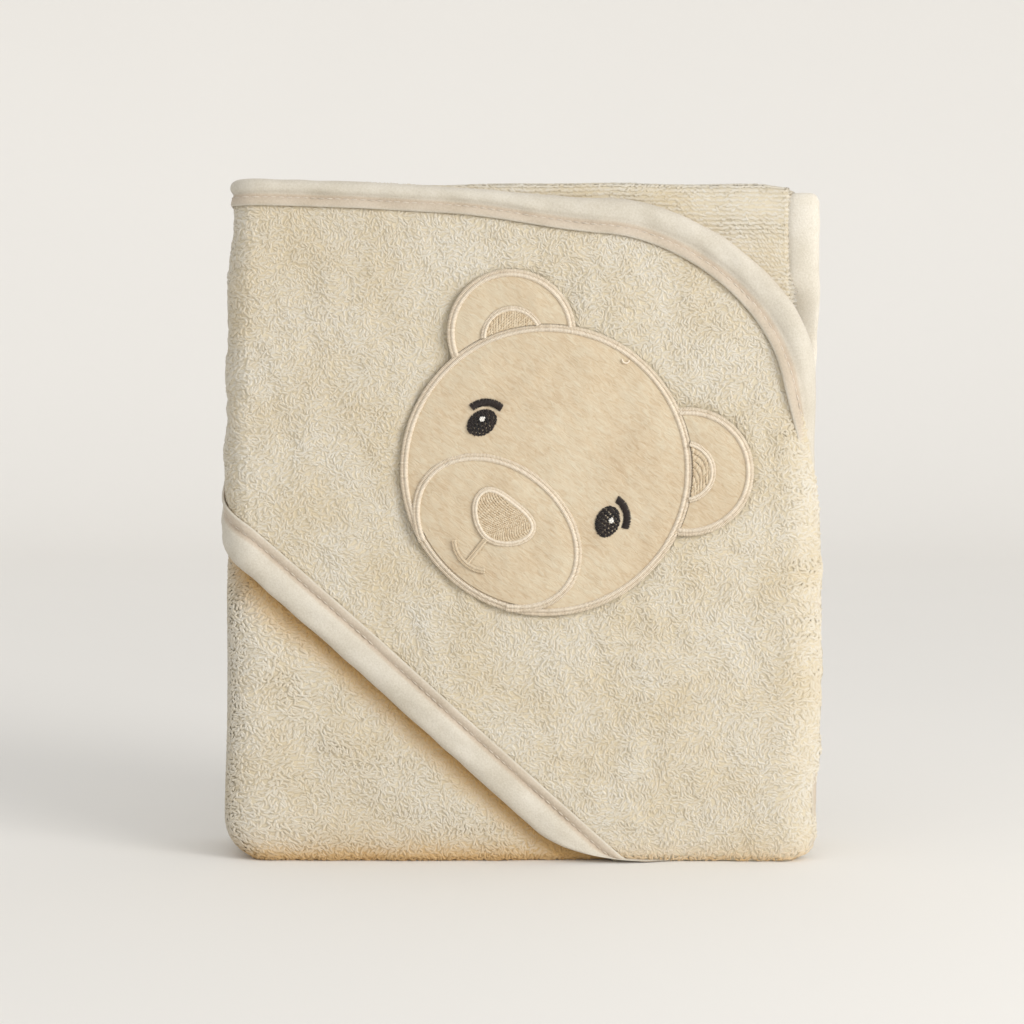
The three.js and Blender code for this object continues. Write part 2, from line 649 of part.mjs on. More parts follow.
/** An ear: its patch, its border, and the inner ear with a border of its own. */
function earPieces(side, name) {
  const toEar = new THREE.Vector2(side * Math.cos(EAR_ANGLE), Math.sin(EAR_ANGLE));
  const ear = toEar.clone().multiplyScalar(HEAD_RADIUS - EAR_INSET);
  const inner = toEar.clone().multiplyScalar(HEAD_RADIUS - EAR_INSET - INNER_EAR_INSET);
  const behindHead = disc(HEAD_RADIUS + CLEAR);
  const patchRadius = EAR_RADIUS - BORDER - CLEAR;
  const innerRadius = INNER_EAR_RADIUS - INNER_BORDER - CLEAR;
  return [
    at(LAYER_ONE, piece(`${name}_ear_patch`,
      cutSlab(disc(patchRadius, ear.x, ear.y), PATCH, behindHead), 'velour')),
    at(LAYER_ONE, piece(`${name}_ear_border`,
      cutSlab(disc(EAR_RADIUS, ear.x, ear.y), SATIN, disc(EAR_RADIUS - BORDER, ear.x, ear.y), behindHead),
      'satin', 0.5)),
    at(LAYER_TWO, piece(`${name}_inner_ear`,
      cutSlab(disc(innerRadius, inner.x, inner.y), FILL, behindHead), 'taupe', 0.6)),
    at(LAYER_TWO, piece(`${name}_inner_ear_border`,
      cutSlab(disc(INNER_EAR_RADIUS, inner.x, inner.y), FILL_BORDER,
        disc(INNER_EAR_RADIUS - INNER_BORDER, inner.x, inner.y), behindHead), 'satin', 0.5)),
  ];
}

/** The head's round patch and its border. */
function headPieces() {
  const rim = HEAD_RADIUS - BORDER;
  return [
    at(LAYER_ONE, piece('head_patch', slab(disc(rim - CLEAR), PATCH), 'velour')),
    at(LAYER_ONE, piece('head_border', cutSlab(disc(HEAD_RADIUS), SATIN, disc(rim)), 'satin', 0.5)),
  ];
}

/** A shape's part that lies inside the head's border. */
function insideHead(shape, thickness, ...cutters) {
  const room = HEAD_RADIUS - BORDER - CLEAR;
  let made = solid(slab(shape, thickness)).intersect(solid(slab(disc(room), thickness)));
  for (const cutter of cutters) {
    made = made.subtract(solid(slab(cutter, 3 * thickness).translate(0, 0, -thickness)));
  }
  return geometryOf(made);
}

/** The muzzle's patch and its border, kept inside the head's. */
function muzzlePieces() {
  const outer = oval(MUZZLE_HALF_WIDTH, MUZZLE_HALF_HEIGHT, 0, MUZZLE_Y);
  const rim = oval(MUZZLE_HALF_WIDTH - BORDER, MUZZLE_HALF_HEIGHT - BORDER, 0, MUZZLE_Y);
  const patch = oval(MUZZLE_HALF_WIDTH - BORDER - CLEAR, MUZZLE_HALF_HEIGHT - BORDER - CLEAR, 0, MUZZLE_Y);
  return [
    at(LAYER_TWO, piece('muzzle_patch', insideHead(patch, SMALL_PATCH), 'velour')),
    at(LAYER_TWO, piece('muzzle_border', insideHead(outer, SMALL_SATIN, rim), 'satin', 0.5)),
  ];
}

/** The nose, the line under it and the mouth. */
function nosePieces() {
  const philtrumTop = NOSE_TIP - CLEAR;
  const mouthY = philtrumTop - PHILTRUM_LENGTH + MOUTH_RADIUS;
  const half = PHILTRUM_WIDTH / 2;
  const philtrumEnd = mouthY - MOUTH_RADIUS + MOUTH_WIDTH / 2 + CLEAR;
  const philtrum = new THREE.Shape();
  philtrum.moveTo(NOSE_X - half, philtrumTop);
  philtrum.lineTo(NOSE_X - half, philtrumEnd);
  philtrum.lineTo(NOSE_X + half, philtrumEnd);
  philtrum.lineTo(NOSE_X + half, philtrumTop);
  const mouth = arcBand(NOSE_X, mouthY, MOUTH_RADIUS, MOUTH_WIDTH, MOUTH_FROM, MOUTH_TO);
  return [
    at(LAYER_THREE, piece('nose_fill', slab(noseShape(NOSE_BORDER + CLEAR), FILL, CURVE_SEGMENTS),
      'taupe', 0.6)),
    at(LAYER_THREE, piece('nose_border', cutSlab(noseShape(0), FILL_BORDER, noseShape(NOSE_BORDER)),
      'satin', 0.5)),
    at(LAYER_THREE, piece('philtrum_stitch', slab(philtrum, FILL), 'thread', 0.5)),
    at(LAYER_THREE, piece('mouth_stitch', slab(mouth, FILL, OVAL_SEGMENTS), 'thread', 0.5)),
  ];
}

/** An eye with its highlight, and the brow over it. */
function eyePieces(side, name) {
  const x = side * EYE_X;
  const eye = oval(EYE_HALF_WIDTH, EYE_HALF_HEIGHT, x, EYE_Y, side * EYE_LEAN);
  const highlight = disc(HIGHLIGHT_RADIUS, x + side * HIGHLIGHT_OUT, EYE_Y + HIGHLIGHT_UP);
  const from = side < 0 ? BROW_FROM : Math.PI - BROW_TO;
  const to = side < 0 ? BROW_TO : Math.PI - BROW_FROM;
  const brow = arcBand(x - side * BROW_IN, EYE_Y + BROW_UP, BROW_RADIUS, BROW_WIDTH, from, to);
  const shine = LAYER_TWO + FILL + CLEAR;
  return [
    at(LAYER_TWO, piece(`${name}_eye`, slab(eye, FILL, OVAL_SEGMENTS), 'dark', 0.45)),
    at(LAYER_TWO, piece(`${name}_brow`, slab(brow, FILL, CURVE_SEGMENTS), 'dark', 0.45)),
    at(shine, piece(`${name}_eye_highlight`, slab(highlight, FILL / 2, DOT_SEGMENTS), 'white', 0.4)),
  ];
}

/** The bear's plane, standing on the front skin and leaning to its left. */
function bear() {
  const plane = new THREE.Group();
  plane.position.set(FACE_X, FRONT_SKIN, FACE_Z);
  plane.rotation.x = Math.PI / 2;
  const face = new THREE.Group();
  face.rotation.z = -FACE_TILT;
  plane.add(face);
  const earReach = (HEAD_RADIUS - EAR_INSET) * Math.cos(EAR_ANGLE) + EAR_RADIUS;
  const backing = oval(earReach, HEAD_RADIUS, 0, 0);
  face.add(at(BACKING_LEVEL, piece('embroidery_backing', slab(backing, BACKING), 'backing')));
  face.add(...headPieces(), ...muzzlePieces(), ...nosePieces());
  for (const [side, name] of [[-1, 'left'], [1, 'right']]) {
    face.add(...earPieces(side, name), ...eyePieces(side, name));
  }
  return plane;
}

const towel = new THREE.Group();
towel.add(
  piece('towel_body', towelBody(), 'terry'),
  piece('hood_panel', hoodPanel(), 'terry'),
  piece('edge_binding', edgeBinding(), 'tape', 0.8),
  piece('hood_binding', hoodBinding(), 'tape', 0.8),
  piece('edge_binding_stitch', edgeStitch(), 'thread', 0.6),
  piece('hood_binding_stitch', hoodStitch(), 'thread', 0.6),
  bear(),
);

// The origin goes to the middle of the finished bundle's bottom.
towel.updateMatrixWorld(true);
const bounds = new THREE.Box3().setFromObject(towel, true);
const middle = bounds.getCenter(new THREE.Vector3());
towel.position.set(-middle.x, -middle.y, -bounds.min.z);

export default towel;
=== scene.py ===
"""Looks of a hooded baby towel, folded into an upright bundle with its bear-faced hood outside.

Sizes in the classes are millimetres in the bundle's own plan: x to the right, y to the back,
z up, with s the way round the bundle along its skin and t the height over that skin.
"""

import json
import logging
import math
from dataclasses import dataclass, field
from enum import Enum

import bpy
import numpy as np
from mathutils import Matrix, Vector
from mathutils.geometry import delaunay_2d_cdt

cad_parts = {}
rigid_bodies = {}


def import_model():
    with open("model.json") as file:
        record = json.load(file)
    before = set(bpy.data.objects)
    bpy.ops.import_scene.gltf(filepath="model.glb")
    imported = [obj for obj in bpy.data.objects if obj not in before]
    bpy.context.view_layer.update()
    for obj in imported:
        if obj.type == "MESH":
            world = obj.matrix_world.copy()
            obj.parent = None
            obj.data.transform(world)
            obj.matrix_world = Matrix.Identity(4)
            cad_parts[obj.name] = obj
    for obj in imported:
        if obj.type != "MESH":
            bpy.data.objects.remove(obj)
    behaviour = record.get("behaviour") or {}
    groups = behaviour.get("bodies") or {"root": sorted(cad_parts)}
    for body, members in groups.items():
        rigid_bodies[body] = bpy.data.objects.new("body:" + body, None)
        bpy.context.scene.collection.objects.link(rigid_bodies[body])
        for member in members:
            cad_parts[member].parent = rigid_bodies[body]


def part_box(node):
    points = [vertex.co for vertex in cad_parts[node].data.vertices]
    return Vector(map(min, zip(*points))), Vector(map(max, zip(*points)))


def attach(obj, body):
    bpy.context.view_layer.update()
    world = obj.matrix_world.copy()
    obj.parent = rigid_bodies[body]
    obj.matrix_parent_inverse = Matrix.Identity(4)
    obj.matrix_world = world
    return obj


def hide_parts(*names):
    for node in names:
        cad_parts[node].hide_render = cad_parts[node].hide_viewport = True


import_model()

LOG = logging.getLogger("towel")
MM = 0.001
ROOT = "root"
CLEARANCE = 0.4  # how near the ground cloth that turns along it comes, in millimetres
TURN_STEPS = 16  # how many steps the way round takes at each corner
EDGE_STEEPNESS = 1.35  # how much further it is straight up to the hood's edge than across to it
PAINTED_GROUND_SHADE = 0.3  # where the ground between the loops sits on the loops' colour ramp, a painted shade for the crevices between them
COARSE_LOOPS = {"pitch": 1.75, "length": 3.6, "radius": 0.58, "height": 0.85}
TOP_LOOPS = {"pitch": 1.6, "length": 3.0, "radius": 0.55, "height": 0.7}
CORNER_LOOPS = {"pitch": 1.15, "length": 2.2, "radius": 0.58, "height": 0.15,
                "flatness": 0.5, "lift": 0.22, "softness": 0.7, "ribs": True}

Socket = bpy.types.NodeSocket
Arrays = tuple[np.ndarray, ...]


class Slot(Enum):
    """The record's finishes."""

    TERRY = "terry"
    TAPE = "binding_velour"
    TOPSTITCH = "topstitch_thread"
    VELOUR = "applique_velour"
    SATIN = "satin_thread"
    TAUPE = "taupe_thread"
    DARK = "dark_thread"
    WHITE = "white_thread"
    BACKING = "backing"


# ---------- colours and finishes ----------


def linear(code: str) -> tuple[float, float, float, float]:
    """Turns a colour code into Blender's linear colour.

    Args:
        code: six hexadecimal digits.

    Returns:
        Red, green, blue and an alpha of 1.
    """
    parts = [int(code[i : i + 2], 16) / 255 for i in (0, 2, 4)]
    made = [p / 12.92 if p <= 0.04045 else ((p + 0.055) / 1.055) ** 2.4 for p in parts]
    return (made[0], made[1], made[2], 1.0)


class NodeBench:
    """A material being wired, one node after another."""

    def __init__(self, name: str, roughness: float, sheen: float, sheen_roughness: float) -> None:
        """Starts a material.

        Args:
            name: the material's name.
            roughness: the shader's roughness.
            sheen: how strong the cloth's sheen is.
            sheen_roughness: how wide the sheen spreads.
        """
        self.material = bpy.data.materials.new(name)
        self.material.use_nodes = True
        self.tree = self.material.node_tree
        self.shader = self.tree.nodes["Principled BSDF"]
        self.shader.inputs["Roughness"].default_value = roughness
        self.shader.inputs["Sheen Weight"].default_value = sheen
        self.shader.inputs["Sheen Roughness"].default_value = sheen_roughness
        self.shader.inputs["Specular IOR Level"].default_value = 0.25
        self.place = self.node("ShaderNodeTexCoord").outputs["Object"]

    def node(self, kind: str, **values: object) -> bpy.types.Node:
        """Adds a node.

        Args:
            kind: the node's type.
            values: what to set on the node itself.

        Returns:
            The node.
        """
        made = self.tree.nodes.new(kind)
        for key, value in values.items():
            setattr(made, key, value)
        return made

    def link(self, source: Socket, target: Socket) -> None:
        """Joins two sockets."""
        self.tree.links.new(source, target)

    def stretched(self, scale: tuple[float, float, float], turn: tuple[float, float, float]) -> Socket:
        """Turns and stretches the place that a pattern reads.

        Args:
            scale: the stretch along each axis.
            turn: the turn about each axis, in radians.

        Returns:
            The stretched place.
        """
        turned = self.node("ShaderNodeMapping")
        turned.inputs["Rotation"].default_value = turn
        self.link(self.place, turned.inputs["Vector"])
        scaled = self.node("ShaderNodeMapping")
        scaled.inputs["Scale"].default_value = scale
        self.link(turned.outputs["Vector"], scaled.inputs["Vector"])
        return scaled.outputs["Vector"]

    def noise(self, scale: float, detail: float = 3.0, warp: float = 0.0,
              place: Socket | None = None) -> Socket:
        """Adds a noise pattern.

        Args:
            scale: how many blotches there are to a metre, about.
            detail: how many finer layers it has.
            warp: how much it is distorted.
            place: where it is read, the object's own place if nothing is given.

        Returns:
            The noise, from 0 to 1.
        """
        made = self.node("ShaderNodeTexNoise")
        made.inputs["Scale"].default_value = scale
        made.inputs["Detail"].default_value = detail
        made.inputs["Distortion"].default_value = warp
        self.link(place or self.place, made.inputs["Vector"])
        return made.outputs["Fac"]

    def attribute(self, name: str) -> Socket:
        """Reads one of the mesh's own values."""
        return self.node("ShaderNodeAttribute", attribute_name=name).outputs["Fac"]

    def ramp(self, value: Socket, stops: list[tuple[float, str]]) -> Socket:
        """Colours a value.

        Args:
            value: the value, from 0 to 1.
            stops: places along it and their colour codes.

        Returns:
            The colour.
        """
        made = self.node("ShaderNodeValToRGB")
        elements = made.color_ramp.elements
        while len(elements) < len(stops):
            elements.new(0.5)
        for element, (at, code) in zip(elements, stops, strict=True):
            element.position = at
            element.color = linear(code)
        self.link(value, made.inputs["Fac"])
        return made.outputs["Color"]

    def mixed(self, share: Socket | float, low: Socket,
              high: Socket, blend: str = "MIX") -> Socket:
        """Mixes two colours.

        Args:
            share: how much of the second there is.
            low: the first colour.
            high: the second colour.
            blend: how they meet.

        Returns:
            The mixed colour.
        """
        made = self.node("ShaderNodeMix", data_type="RGBA", blend_type=blend)
        if isinstance(share, float):
            made.inputs["Factor"].default_value = share
        else:
            self.link(share, made.inputs["Factor"])
        self.link(low, made.inputs["A"])
        self.link(high, made.inputs["B"])
        return made.outputs["Result"]

    def reckoned(self, kind: str, first: Socket, second: Socket | float) -> Socket:
        """Works one number out of two.

        Args:
            kind: the sum to do.
            first: the first number.
            second: the second number.

        Returns:
            The result.
        """
        made = self.node("ShaderNodeMath", operation=kind)
        self.link(first, made.inputs[0])
        if isinstance(second, float):
            made.inputs[1].default_value = second
        else:
            self.link(second, made.inputs[1])
        return made.outputs[0]

    def shared(self, first: Socket, second: Socket, share: float) -> Socket:
        """Adds two patterns, of which the first takes a share and the second the rest."""
        parts = self.reckoned("MULTIPLY", first, share), self.reckoned("MULTIPLY", second, 1 - share)
        return self.reckoned("ADD", *parts)

    def finish(self, colour: Socket, height: Socket,
               depth: float, strength: float = 1.0) -> bpy.types.Material:
        """Wires the colour and the relief to the shader.

        Args:
            colour: the surface's colour.
            height: the relief, from 0 to 1.
            depth: the relief's height, in metres.
            strength: how much of it shows.

        Returns:
            The finished material.
        """
        self.link(colour, self.shader.inputs["Base Color"])
        relief = self.node("ShaderNodeBump")
        relief.inputs["Distance"].default_value = depth
        relief.inputs["Strength"].default_value = strength
        self.link(height, relief.inputs["Height"])
        self.link(relief.outputs["Normal"], self.shader.inputs["Normal"])
        return self.material


@dataclass(frozen=True)
class TerryFinish:
    """Cotton towelling: cream loops over a ground painted darker, a painted shade between the loops."""

    name: str = "terry"
    # The crown ramp is painted shade: deep at the loops' feet and on the ground between them, high on their
    # tops.
    deep: str = "CFC5AD"
    low: str = "D4CBB7"
    middle: str = "D8D1C3"
    high: str = "DAD5CA"

    def build(self) -> bpy.types.Material:
        """Makes the material of loops and ground. It reads their crown value as painted shade (darker at
        the loops' feet and undersides and on the ground), a painted warm shade under the hood's edge and
        near the floor, and their own tint.
        """
        bench = NodeBench(self.name, 0.92, 0.12, 0.6)
        stops = [(0.0, self.deep), (0.3, self.low), (0.72, self.middle), (1.0, self.high)]
        loops = bench.ramp(bench.attribute("crown"), stops)
        tint = bench.ramp(bench.attribute("tint"), [(0.0, "F9F5ED"), (0.5, "FCFAF6"), (1.0, "FFFFFF")])
        blotch = bench.ramp(bench.noise(42.0, 2.0), [(0.3, "FAF5EB"), (0.7, "FFFFFF")])
        colour = bench.mixed(1.0, bench.mixed(1.0, loops, tint, "MULTIPLY"), blotch, "MULTIPLY")
        # Painted warm shade: a tan multiplied in under the hood's edge and near the floor, for the shade
        # and the warm bounced light there.
        warm = bench.ramp(bench.attribute("painted_warm_shade"), [(0.0, "FFFFFF"), (1.0, "F0CF9B")])
        colour = bench.mixed(1.0, colour, warm, "MULTIPLY")
        return bench.finish(colour, bench.noise(2600.0, 2.0), 0.00012, 0.4)


@dataclass(frozen=True)
class VelourFinish:
    """Short brushed pile with wavy streaks where the nap parts."""

    name: str = "applique_velour"
    deep: str = "BCA587"
    middle: str = "CAB89C"
    high: str = "D2C6AE"

    def build(self) -> bpy.types.Material:
        """Makes the streaked nap."""
        bench = NodeBench(self.name, 0.85, 0.15, 0.45)
        place = bench.stretched((0.3, 1.0, 1.0), (0.0, math.radians(-36), 0.0))
        streaks = bench.noise(900.0, 4.0, 1.1, place)
        clouds = bench.noise(48.0, 3.0)
        value = bench.shared(streaks, clouds, 0.62)
        stops = [(0.3, self.deep), (0.48, self.middle), (0.68, self.high)]
        return bench.finish(bench.ramp(value, stops), streaks, 0.0005, 0.55)


@dataclass(frozen=True)
class TapeFinish:
    """Fine off-white velour of the binding tape."""

    name: str = "binding_velour"
    deep: str = "CCC4B4"
    middle: str = "D7D0C2"
    high: str = "E0DACE"

    def build(self) -> bpy.types.Material:
        """Makes the close, even nap, with painted shade and light from the crown value: lighter on the
        roll's top and the upright strip, darker under the roll and along the band's groove.
        """
        bench = NodeBench(self.name, 0.88, 0.15, 0.5)
        grain = bench.noise(1500.0, 3.0, 0.4)
        clouds = bench.noise(70.0, 2.0)
        value = bench.shared(grain, clouds, 0.5)
        colour = bench.ramp(value, [(0.34, self.deep), (0.5, self.middle), (0.66, self.high)])
        # Painted shade and light by crown value: lighter on the roll's top and the upright strip, darker
        # under the roll and along the band's stitched groove.
        painted_shade_stops = [(0.0, "E2D6CC"), (0.45, "EAE2DA"), (0.8, "F2F1EF"), (1.0, "FFFFFF")]
        flat = bench.ramp(bench.attribute("crown"), painted_shade_stops)
        return bench.finish(bench.mixed(1.0, colour, flat, "MULTIPLY"), grain, 0.0003, 0.5)


@dataclass(frozen=True)
class ThreadFinish:
    """Embroidery thread: a soft gloss, each stitch a little lighter or darker."""

    name: str
    deep: str
    high: str
    roughness: float = 0.42

    def build(self) -> bpy.types.Material:
        """Makes the thread, with the twist of its fibres."""
        bench = NodeBench(self.name, self.roughness, 0.2, 0.4)
        bench.shader.inputs["Specular IOR Level"].default_value = 0.45
        fibres = bench.noise(3800.0, 2.0, 0.5)
        value = bench.shared(bench.attribute("tint"), fibres, 0.75)
        colour = bench.ramp(value, [(0.1, self.deep), (0.9, self.high)])
        return bench.finish(colour, fibres, 0.00012, 0.5)


@dataclass(frozen=True)
class InterliningFinish:
    """Pressed interlining behind the embroidery."""

    name: str = "backing"

    def build(self) -> bpy.types.Material:
        """Makes the pressed fibres."""
        bench = NodeBench(self.name, 0.9, 0.0, 0.5)
        fibres = bench.noise(900.0, 5.0, 2.0)
        return bench.finish(bench.ramp(fibres, [(0.35, "E2DCCE"), (0.65, "F5F1E6")]), fibres, 0.0002)


@dataclass(frozen=True)
class BackdropFinish:
    """Painted studio backdrop."""

    name: str = "backdrop"
    colour: str = "EEEBE6"

    def build(self) -> bpy.types.Material:
        """Makes the even paint."""
        bench = NodeBench(self.name, 0.95, 0.0, 0.5)
        grain = bench.noise(3.0, 2.0)
        return bench.finish(bench.ramp(grain, [(0.0, "ECE9E4"), (1.0, self.colour)]), grain, 0.0001)


class Wardrobe:
    """All the finishes, each made once."""

    def __init__(self) -> None:
        """Makes the finishes."""
        threads = {
            Slot.TOPSTITCH: ThreadFinish("topstitch_thread", "C4B9A9", "D4C9B9", 0.6),
            Slot.SATIN: ThreadFinish("satin_thread", "C9B79C", "F0E4D1"),
            Slot.TAUPE: ThreadFinish("taupe_thread", "C2AC8C", "DACAAF", 0.5),
            Slot.DARK: ThreadFinish("dark_thread", "0E0705", "271A13", 0.6),
            Slot.WHITE: ThreadFinish("white_thread", "DAD6CC", "FAF7F0", 0.4),
        }
        self.made = {slot: finish.build() for slot, finish in threads.items()}
        self.made[Slot.TERRY] = TerryFinish().build()
        self.made[Slot.TAPE] = TapeFinish().build()
        self.made[Slot.VELOUR] = VelourFinish().build()
        self.made[Slot.BACKING] = InterliningFinish().build()

    def dress(self, piece: bpy.types.Object, slot: Slot) -> None:
        """Gives a piece its finish, its slot and its body.

        Args:
            piece: the piece.
            slot: the finish.
        """
        piece.data.materials.clear()
        piece.data.materials.append(self.made[slot])
        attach(piece, ROOT)


# ---------- seeded wander ----------


class Drift:
    """A smooth, seeded wander over a surface, about -1 to 1."""

    def __init__(self, seed: int, size: float, waves: int = 9) -> None:
        """Draws the waves.

        Args:
            seed: the seed.
            size: the length of a wave, in millimetres.
            waves: how many waves there are.
        """
        rng = np.random.default_rng(seed)
        angle = rng.uniform(0, 2 * math.pi, waves)
        pace = 2 * math.pi / size * rng.uniform(0.6, 1.5, waves)
        self.pace = np.stack([pace * np.cos(angle), pace * np.sin(angle)])
        self.phase = rng.uniform(0, 2 * math.pi, waves)
        self.share = 1 / math.sqrt(waves / 2)

    def __call__(self, a: np.ndarray, b: np.ndarray) -> np.ndarray:
        """Reads the wander at places.

        Args:
            a: the places' first number.
            b: the places' second number.

        Returns:
            The wander there.
        """
        a, b = np.broadcast_arrays(a, b)
        total = np.zeros(a.shape)
        for across, up, phase in zip(self.pace[0], self.pace[1], self.phase, strict=True):
            total += np.cos(a * across + b * up + phase)
        return total * self.share


def smooth(value: np.ndarray, low: float, high: float) -> np.ndarray:
    """Rises smoothly from 0 to 1 between two values.

    Args:
        value: what to read.
        low: where it starts to rise.
        high: where it is full.

    Returns:
        The share.
    """
    share = np.clip((value - low) / (high - low), 0, 1)
    return share * share * (3 - 2 * share)


def squared(value: np.ndarray, power: float) -> np.ndarray:
    """Raises a value's size to a power and keeps its sign, which squares off a round outline."""
    return np.sign(value) * np.abs(value) ** power


def nearing(value: np.ndarray, start: float, span: float) -> np.ndarray:
    """Rises from 0 to 1 over a span, slowly at first."""
    return np.clip((value - start) / span, 0, 1) ** 1.6


def drawn_in(z: np.ndarray, radius: float) -> np.ndarray:
    """How far a round lower edge has drawn in at a height over the ground."""
    inner = np.clip(radius - z, 0, radius)
    return radius - np.sqrt(np.maximum(radius**2 - inner**2, 0))


def distance_along(line: np.ndarray) -> np.ndarray:
    """How far along a line each of its points lies."""
    return np.append(0, np.cumsum(np.linalg.norm(np.diff(line, axis=0), axis=1)))


def spaced(line: np.ndarray, count: int) -> np.ndarray:
    """Spaces a line's points evenly.

    Args:
        line: the points.
        count: how many to keep.

    Returns:
        The evenly spaced points.
    """
    along = distance_along(line)
    at = np.linspace(0, along[-1], count)
    return np.stack([np.interp(at, along, line[:, i]) for i in range(line.shape[1])], 1)


def ordered(faces: np.ndarray) -> np.ndarray:
    """Puts triangles in the same order every time, whichever order Blender gave them."""
    turn = (faces.argmin(1)[:, None] + np.arange(3)) % 3
    faces = np.take_along_axis(faces, turn, 1)
    return faces[np.lexsort(faces.T[::-1])]


def repeated(faces: np.ndarray, count: int, size: int) -> np.ndarray:
    """Numbers the triangles of many copies of one shape.

    Args:
        faces: the shape's triangles.
        count: how many copies there are.
        size: how many points each has.

    Returns:
        The triangles of them all.
    """
    return (faces[None] + (np.arange(count) * size)[:, None, None]).reshape(-1, 3)


# ---------- the bundle's own shape ----------


@dataclass
class Bundle:
    """The folded bundle: the way round its skin, the outline of its front sheet, and how it settles."""

    left: float = 101.4
    right: float = 102.4
    height: float = 254.0
    depth: float = 42.0
    left_corner: float = 2.0
    right_corner: float = 6.0
    back_fold: float = 108.0
    back_fold_corner: float = 8.0
    neutral: float = 6.0
    top_edge: float = 255.5
    top_at_corner: float = 248.4
    slope_from: float = -100.0
    corner_radius: float = 84.6
    corner_reach: float = 94.2
    corner_end: float = math.radians(14)
    side_tuck: float = 6.4
    roll_full: float = 10.5
    roll_turned: float = 6.2
    band: float = 3.7
    opening_slope: float = 0.902
    opening_foot: float = 18.9
    face_x: float = 9.4
    border_back: float = 29.9
    bulge: float = 1.7  # how far the front and the back swell in their middle
    bulge_reach: float = 118.0
    bulge_middle: float = 122.0
    bulge_height: float = 150.0
    sway: float = 0.55  # how far the faces and the top wander
    flank_sway: float = 0.5
    left_foot: float = 15.0  # the rounding of the lower corners, and the most they draw in
    left_draw: float = 8.5
    right_foot: float = 10.0
    right_draw: float = 6.0

    def __post_init__(self) -> None:
        """Works out the way round and where the frame's origin lies."""
        self.skin = -self.depth / 2
        turn = (self.right_corner + self.neutral) * math.pi / 2
        self.side_edge = self.right - self.right_corner + turn + self.side_tuck
        self.sheet_end = self.side_edge - self.roll_full - 0.3
        self.corner = (self.side_edge - self.corner_reach, self.top_at_corner - self.corner_radius)
        low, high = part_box("head_border")
        self.shift = np.array([
            (low.x + high.x) / 2 / MM - self.face_x,
            high.y / MM + self.border_back,
            0.0,
        ])
        self.walk = self._walk()
        self.top_wave = Drift(11, 70.0, 7)
        self.side_wave = Drift(12, 95.0, 7)
        self.face_wave = Drift(13, 110.0, 9)

    def _walk(self) -> np.ndarray:
        """Samples the way round: s, foot x, foot y, outward x, outward y."""
        straight_left = self.left - self.left_corner
        right = [("go", self.right - self.right_corner), ("turn", self.right_corner), ("go", self.depth)]
        left = [
            ("go", straight_left), ("turn", self.left_corner),
            ("go", self.depth - 2 * self.left_corner), ("turn", self.left_corner),
            ("go", straight_left + self.back_fold - self.back_fold_corner),
            ("turn", self.back_fold_corner), ("go", 10.0),
        ]

        def outward(side: int, heading: float) -> np.ndarray:
            """The way out of the bundle."""
            return np.array([side * math.sin(heading), -math.cos(heading)])

        rows = []
        for side, stretches in ((1, right), (-1, left)):
            s, heading = 0.0, 0.0
            foot = np.array([0.0, self.skin])
            for kind, size in stretches:
                out = outward(side, heading)
                if kind == "go":
                    ahead = np.array([side * math.cos(heading), math.sin(heading)])
                    steps = max(2, int(size))
                    for k in range(steps + 1):
                        at = foot + ahead * size * k / steps
                        rows.append((side * (s + size * k / steps), at[0], at[1], *out))
                    foot = foot + ahead * size
                    s += size
                    continue
                centre = foot - out * size
                for k in range(1, TURN_STEPS):
                    out = outward(side, heading + math.pi / 2 * k / TURN_STEPS)
                    at = centre + out * size
                    along = s + (size + self.neutral) * math.pi / 2 * k / TURN_STEPS
                    rows.append((side * along, at[0], at[1], *out))
                heading += math.pi / 2
                s += (size + self.neutral) * math.pi / 2
                foot = centre + outward(side, heading) * size
        table = np.array(rows)
        table = table[np.argsort(table[:, 0], kind="stable")]
        keep = np.append(True, np.diff(table[:, 0]) > 1e-6)
        return table[keep].T

    def wrap(self, s: np.ndarray, z: np.ndarray, t: np.ndarray) -> np.ndarray:
        """Places points that lie on the way round.

        Args:
            s: how far along the skin, to the right.
            z: the height over the ground.
            t: the height over the skin.

        Returns:
            The points in the plan, before settling.
        """
        s, z, t = np.broadcast_arrays(np.asarray(s, float), z, t)
        way, fx, fy, ox, oy = self.walk
        x, y = np.interp(s, way, fx), np.interp(s, way, fy)
        nx, ny = np.interp(s, way, ox), np.interp(s, way, oy)
        size = np.hypot(nx, ny)
        return np.stack([x + nx / size * t, y + ny / size * t, z], -1)

    def settle(self, points: np.ndarray) -> np.ndarray:
        """Lets the bundle sag and swell a little, as soft cloth does.

        Args:
            points: points in the plan.

        Returns:
            The settled points, in the frame's millimetres.
        """
        x, y, z = (points[..., i].copy() for i in range(3))
        reach = np.clip(1 - (x / self.bulge_reach) ** 2, 0, 1)
        reach = reach * np.clip(1 - ((z - self.bulge_middle) / self.bulge_height) ** 2, 0, 1)
        sway = self.face_wave(x, z) * self.sway * np.clip(reach * 2, 0, 1)
        y += np.clip(y / (self.depth / 2), -1, 1) * (self.bulge * reach + sway)
        x += np.minimum(drawn_in(z, self.left_foot), self.left_draw) * nearing(-x, 62, 44)
        x -= np.minimum(drawn_in(z, self.right_foot), self.right_draw) * nearing(x, 72, 36)
        x += self.side_wave(y * 0.5, z) * self.flank_sway * smooth(np.abs(x), 70, 104)
        x += 1.9 * smooth(x, 55, 106)
        x += smooth(-x, 55, 104) * (-0.9 + 2.9 * smooth(z, 205, 256))
        z -= 2.4 * smooth(x, 88, 101) * smooth(z, 236, 253) * smooth(y, -24, -16)
        lift = self.top_wave(x, y * 3) * self.sway * smooth(z, 170, 250)
        z += lift * (0.35 + 0.65 * smooth(y, -26, -16))
        return np.stack([x, y, z], -1) + self.shift

    def roll_width(self, s: np.ndarray) -> np.ndarray:
        """How much of the edge's roll faces forward."""
        return self.roll_turned + (self.roll_full - self.roll_turned) * smooth(s, -30, 62)

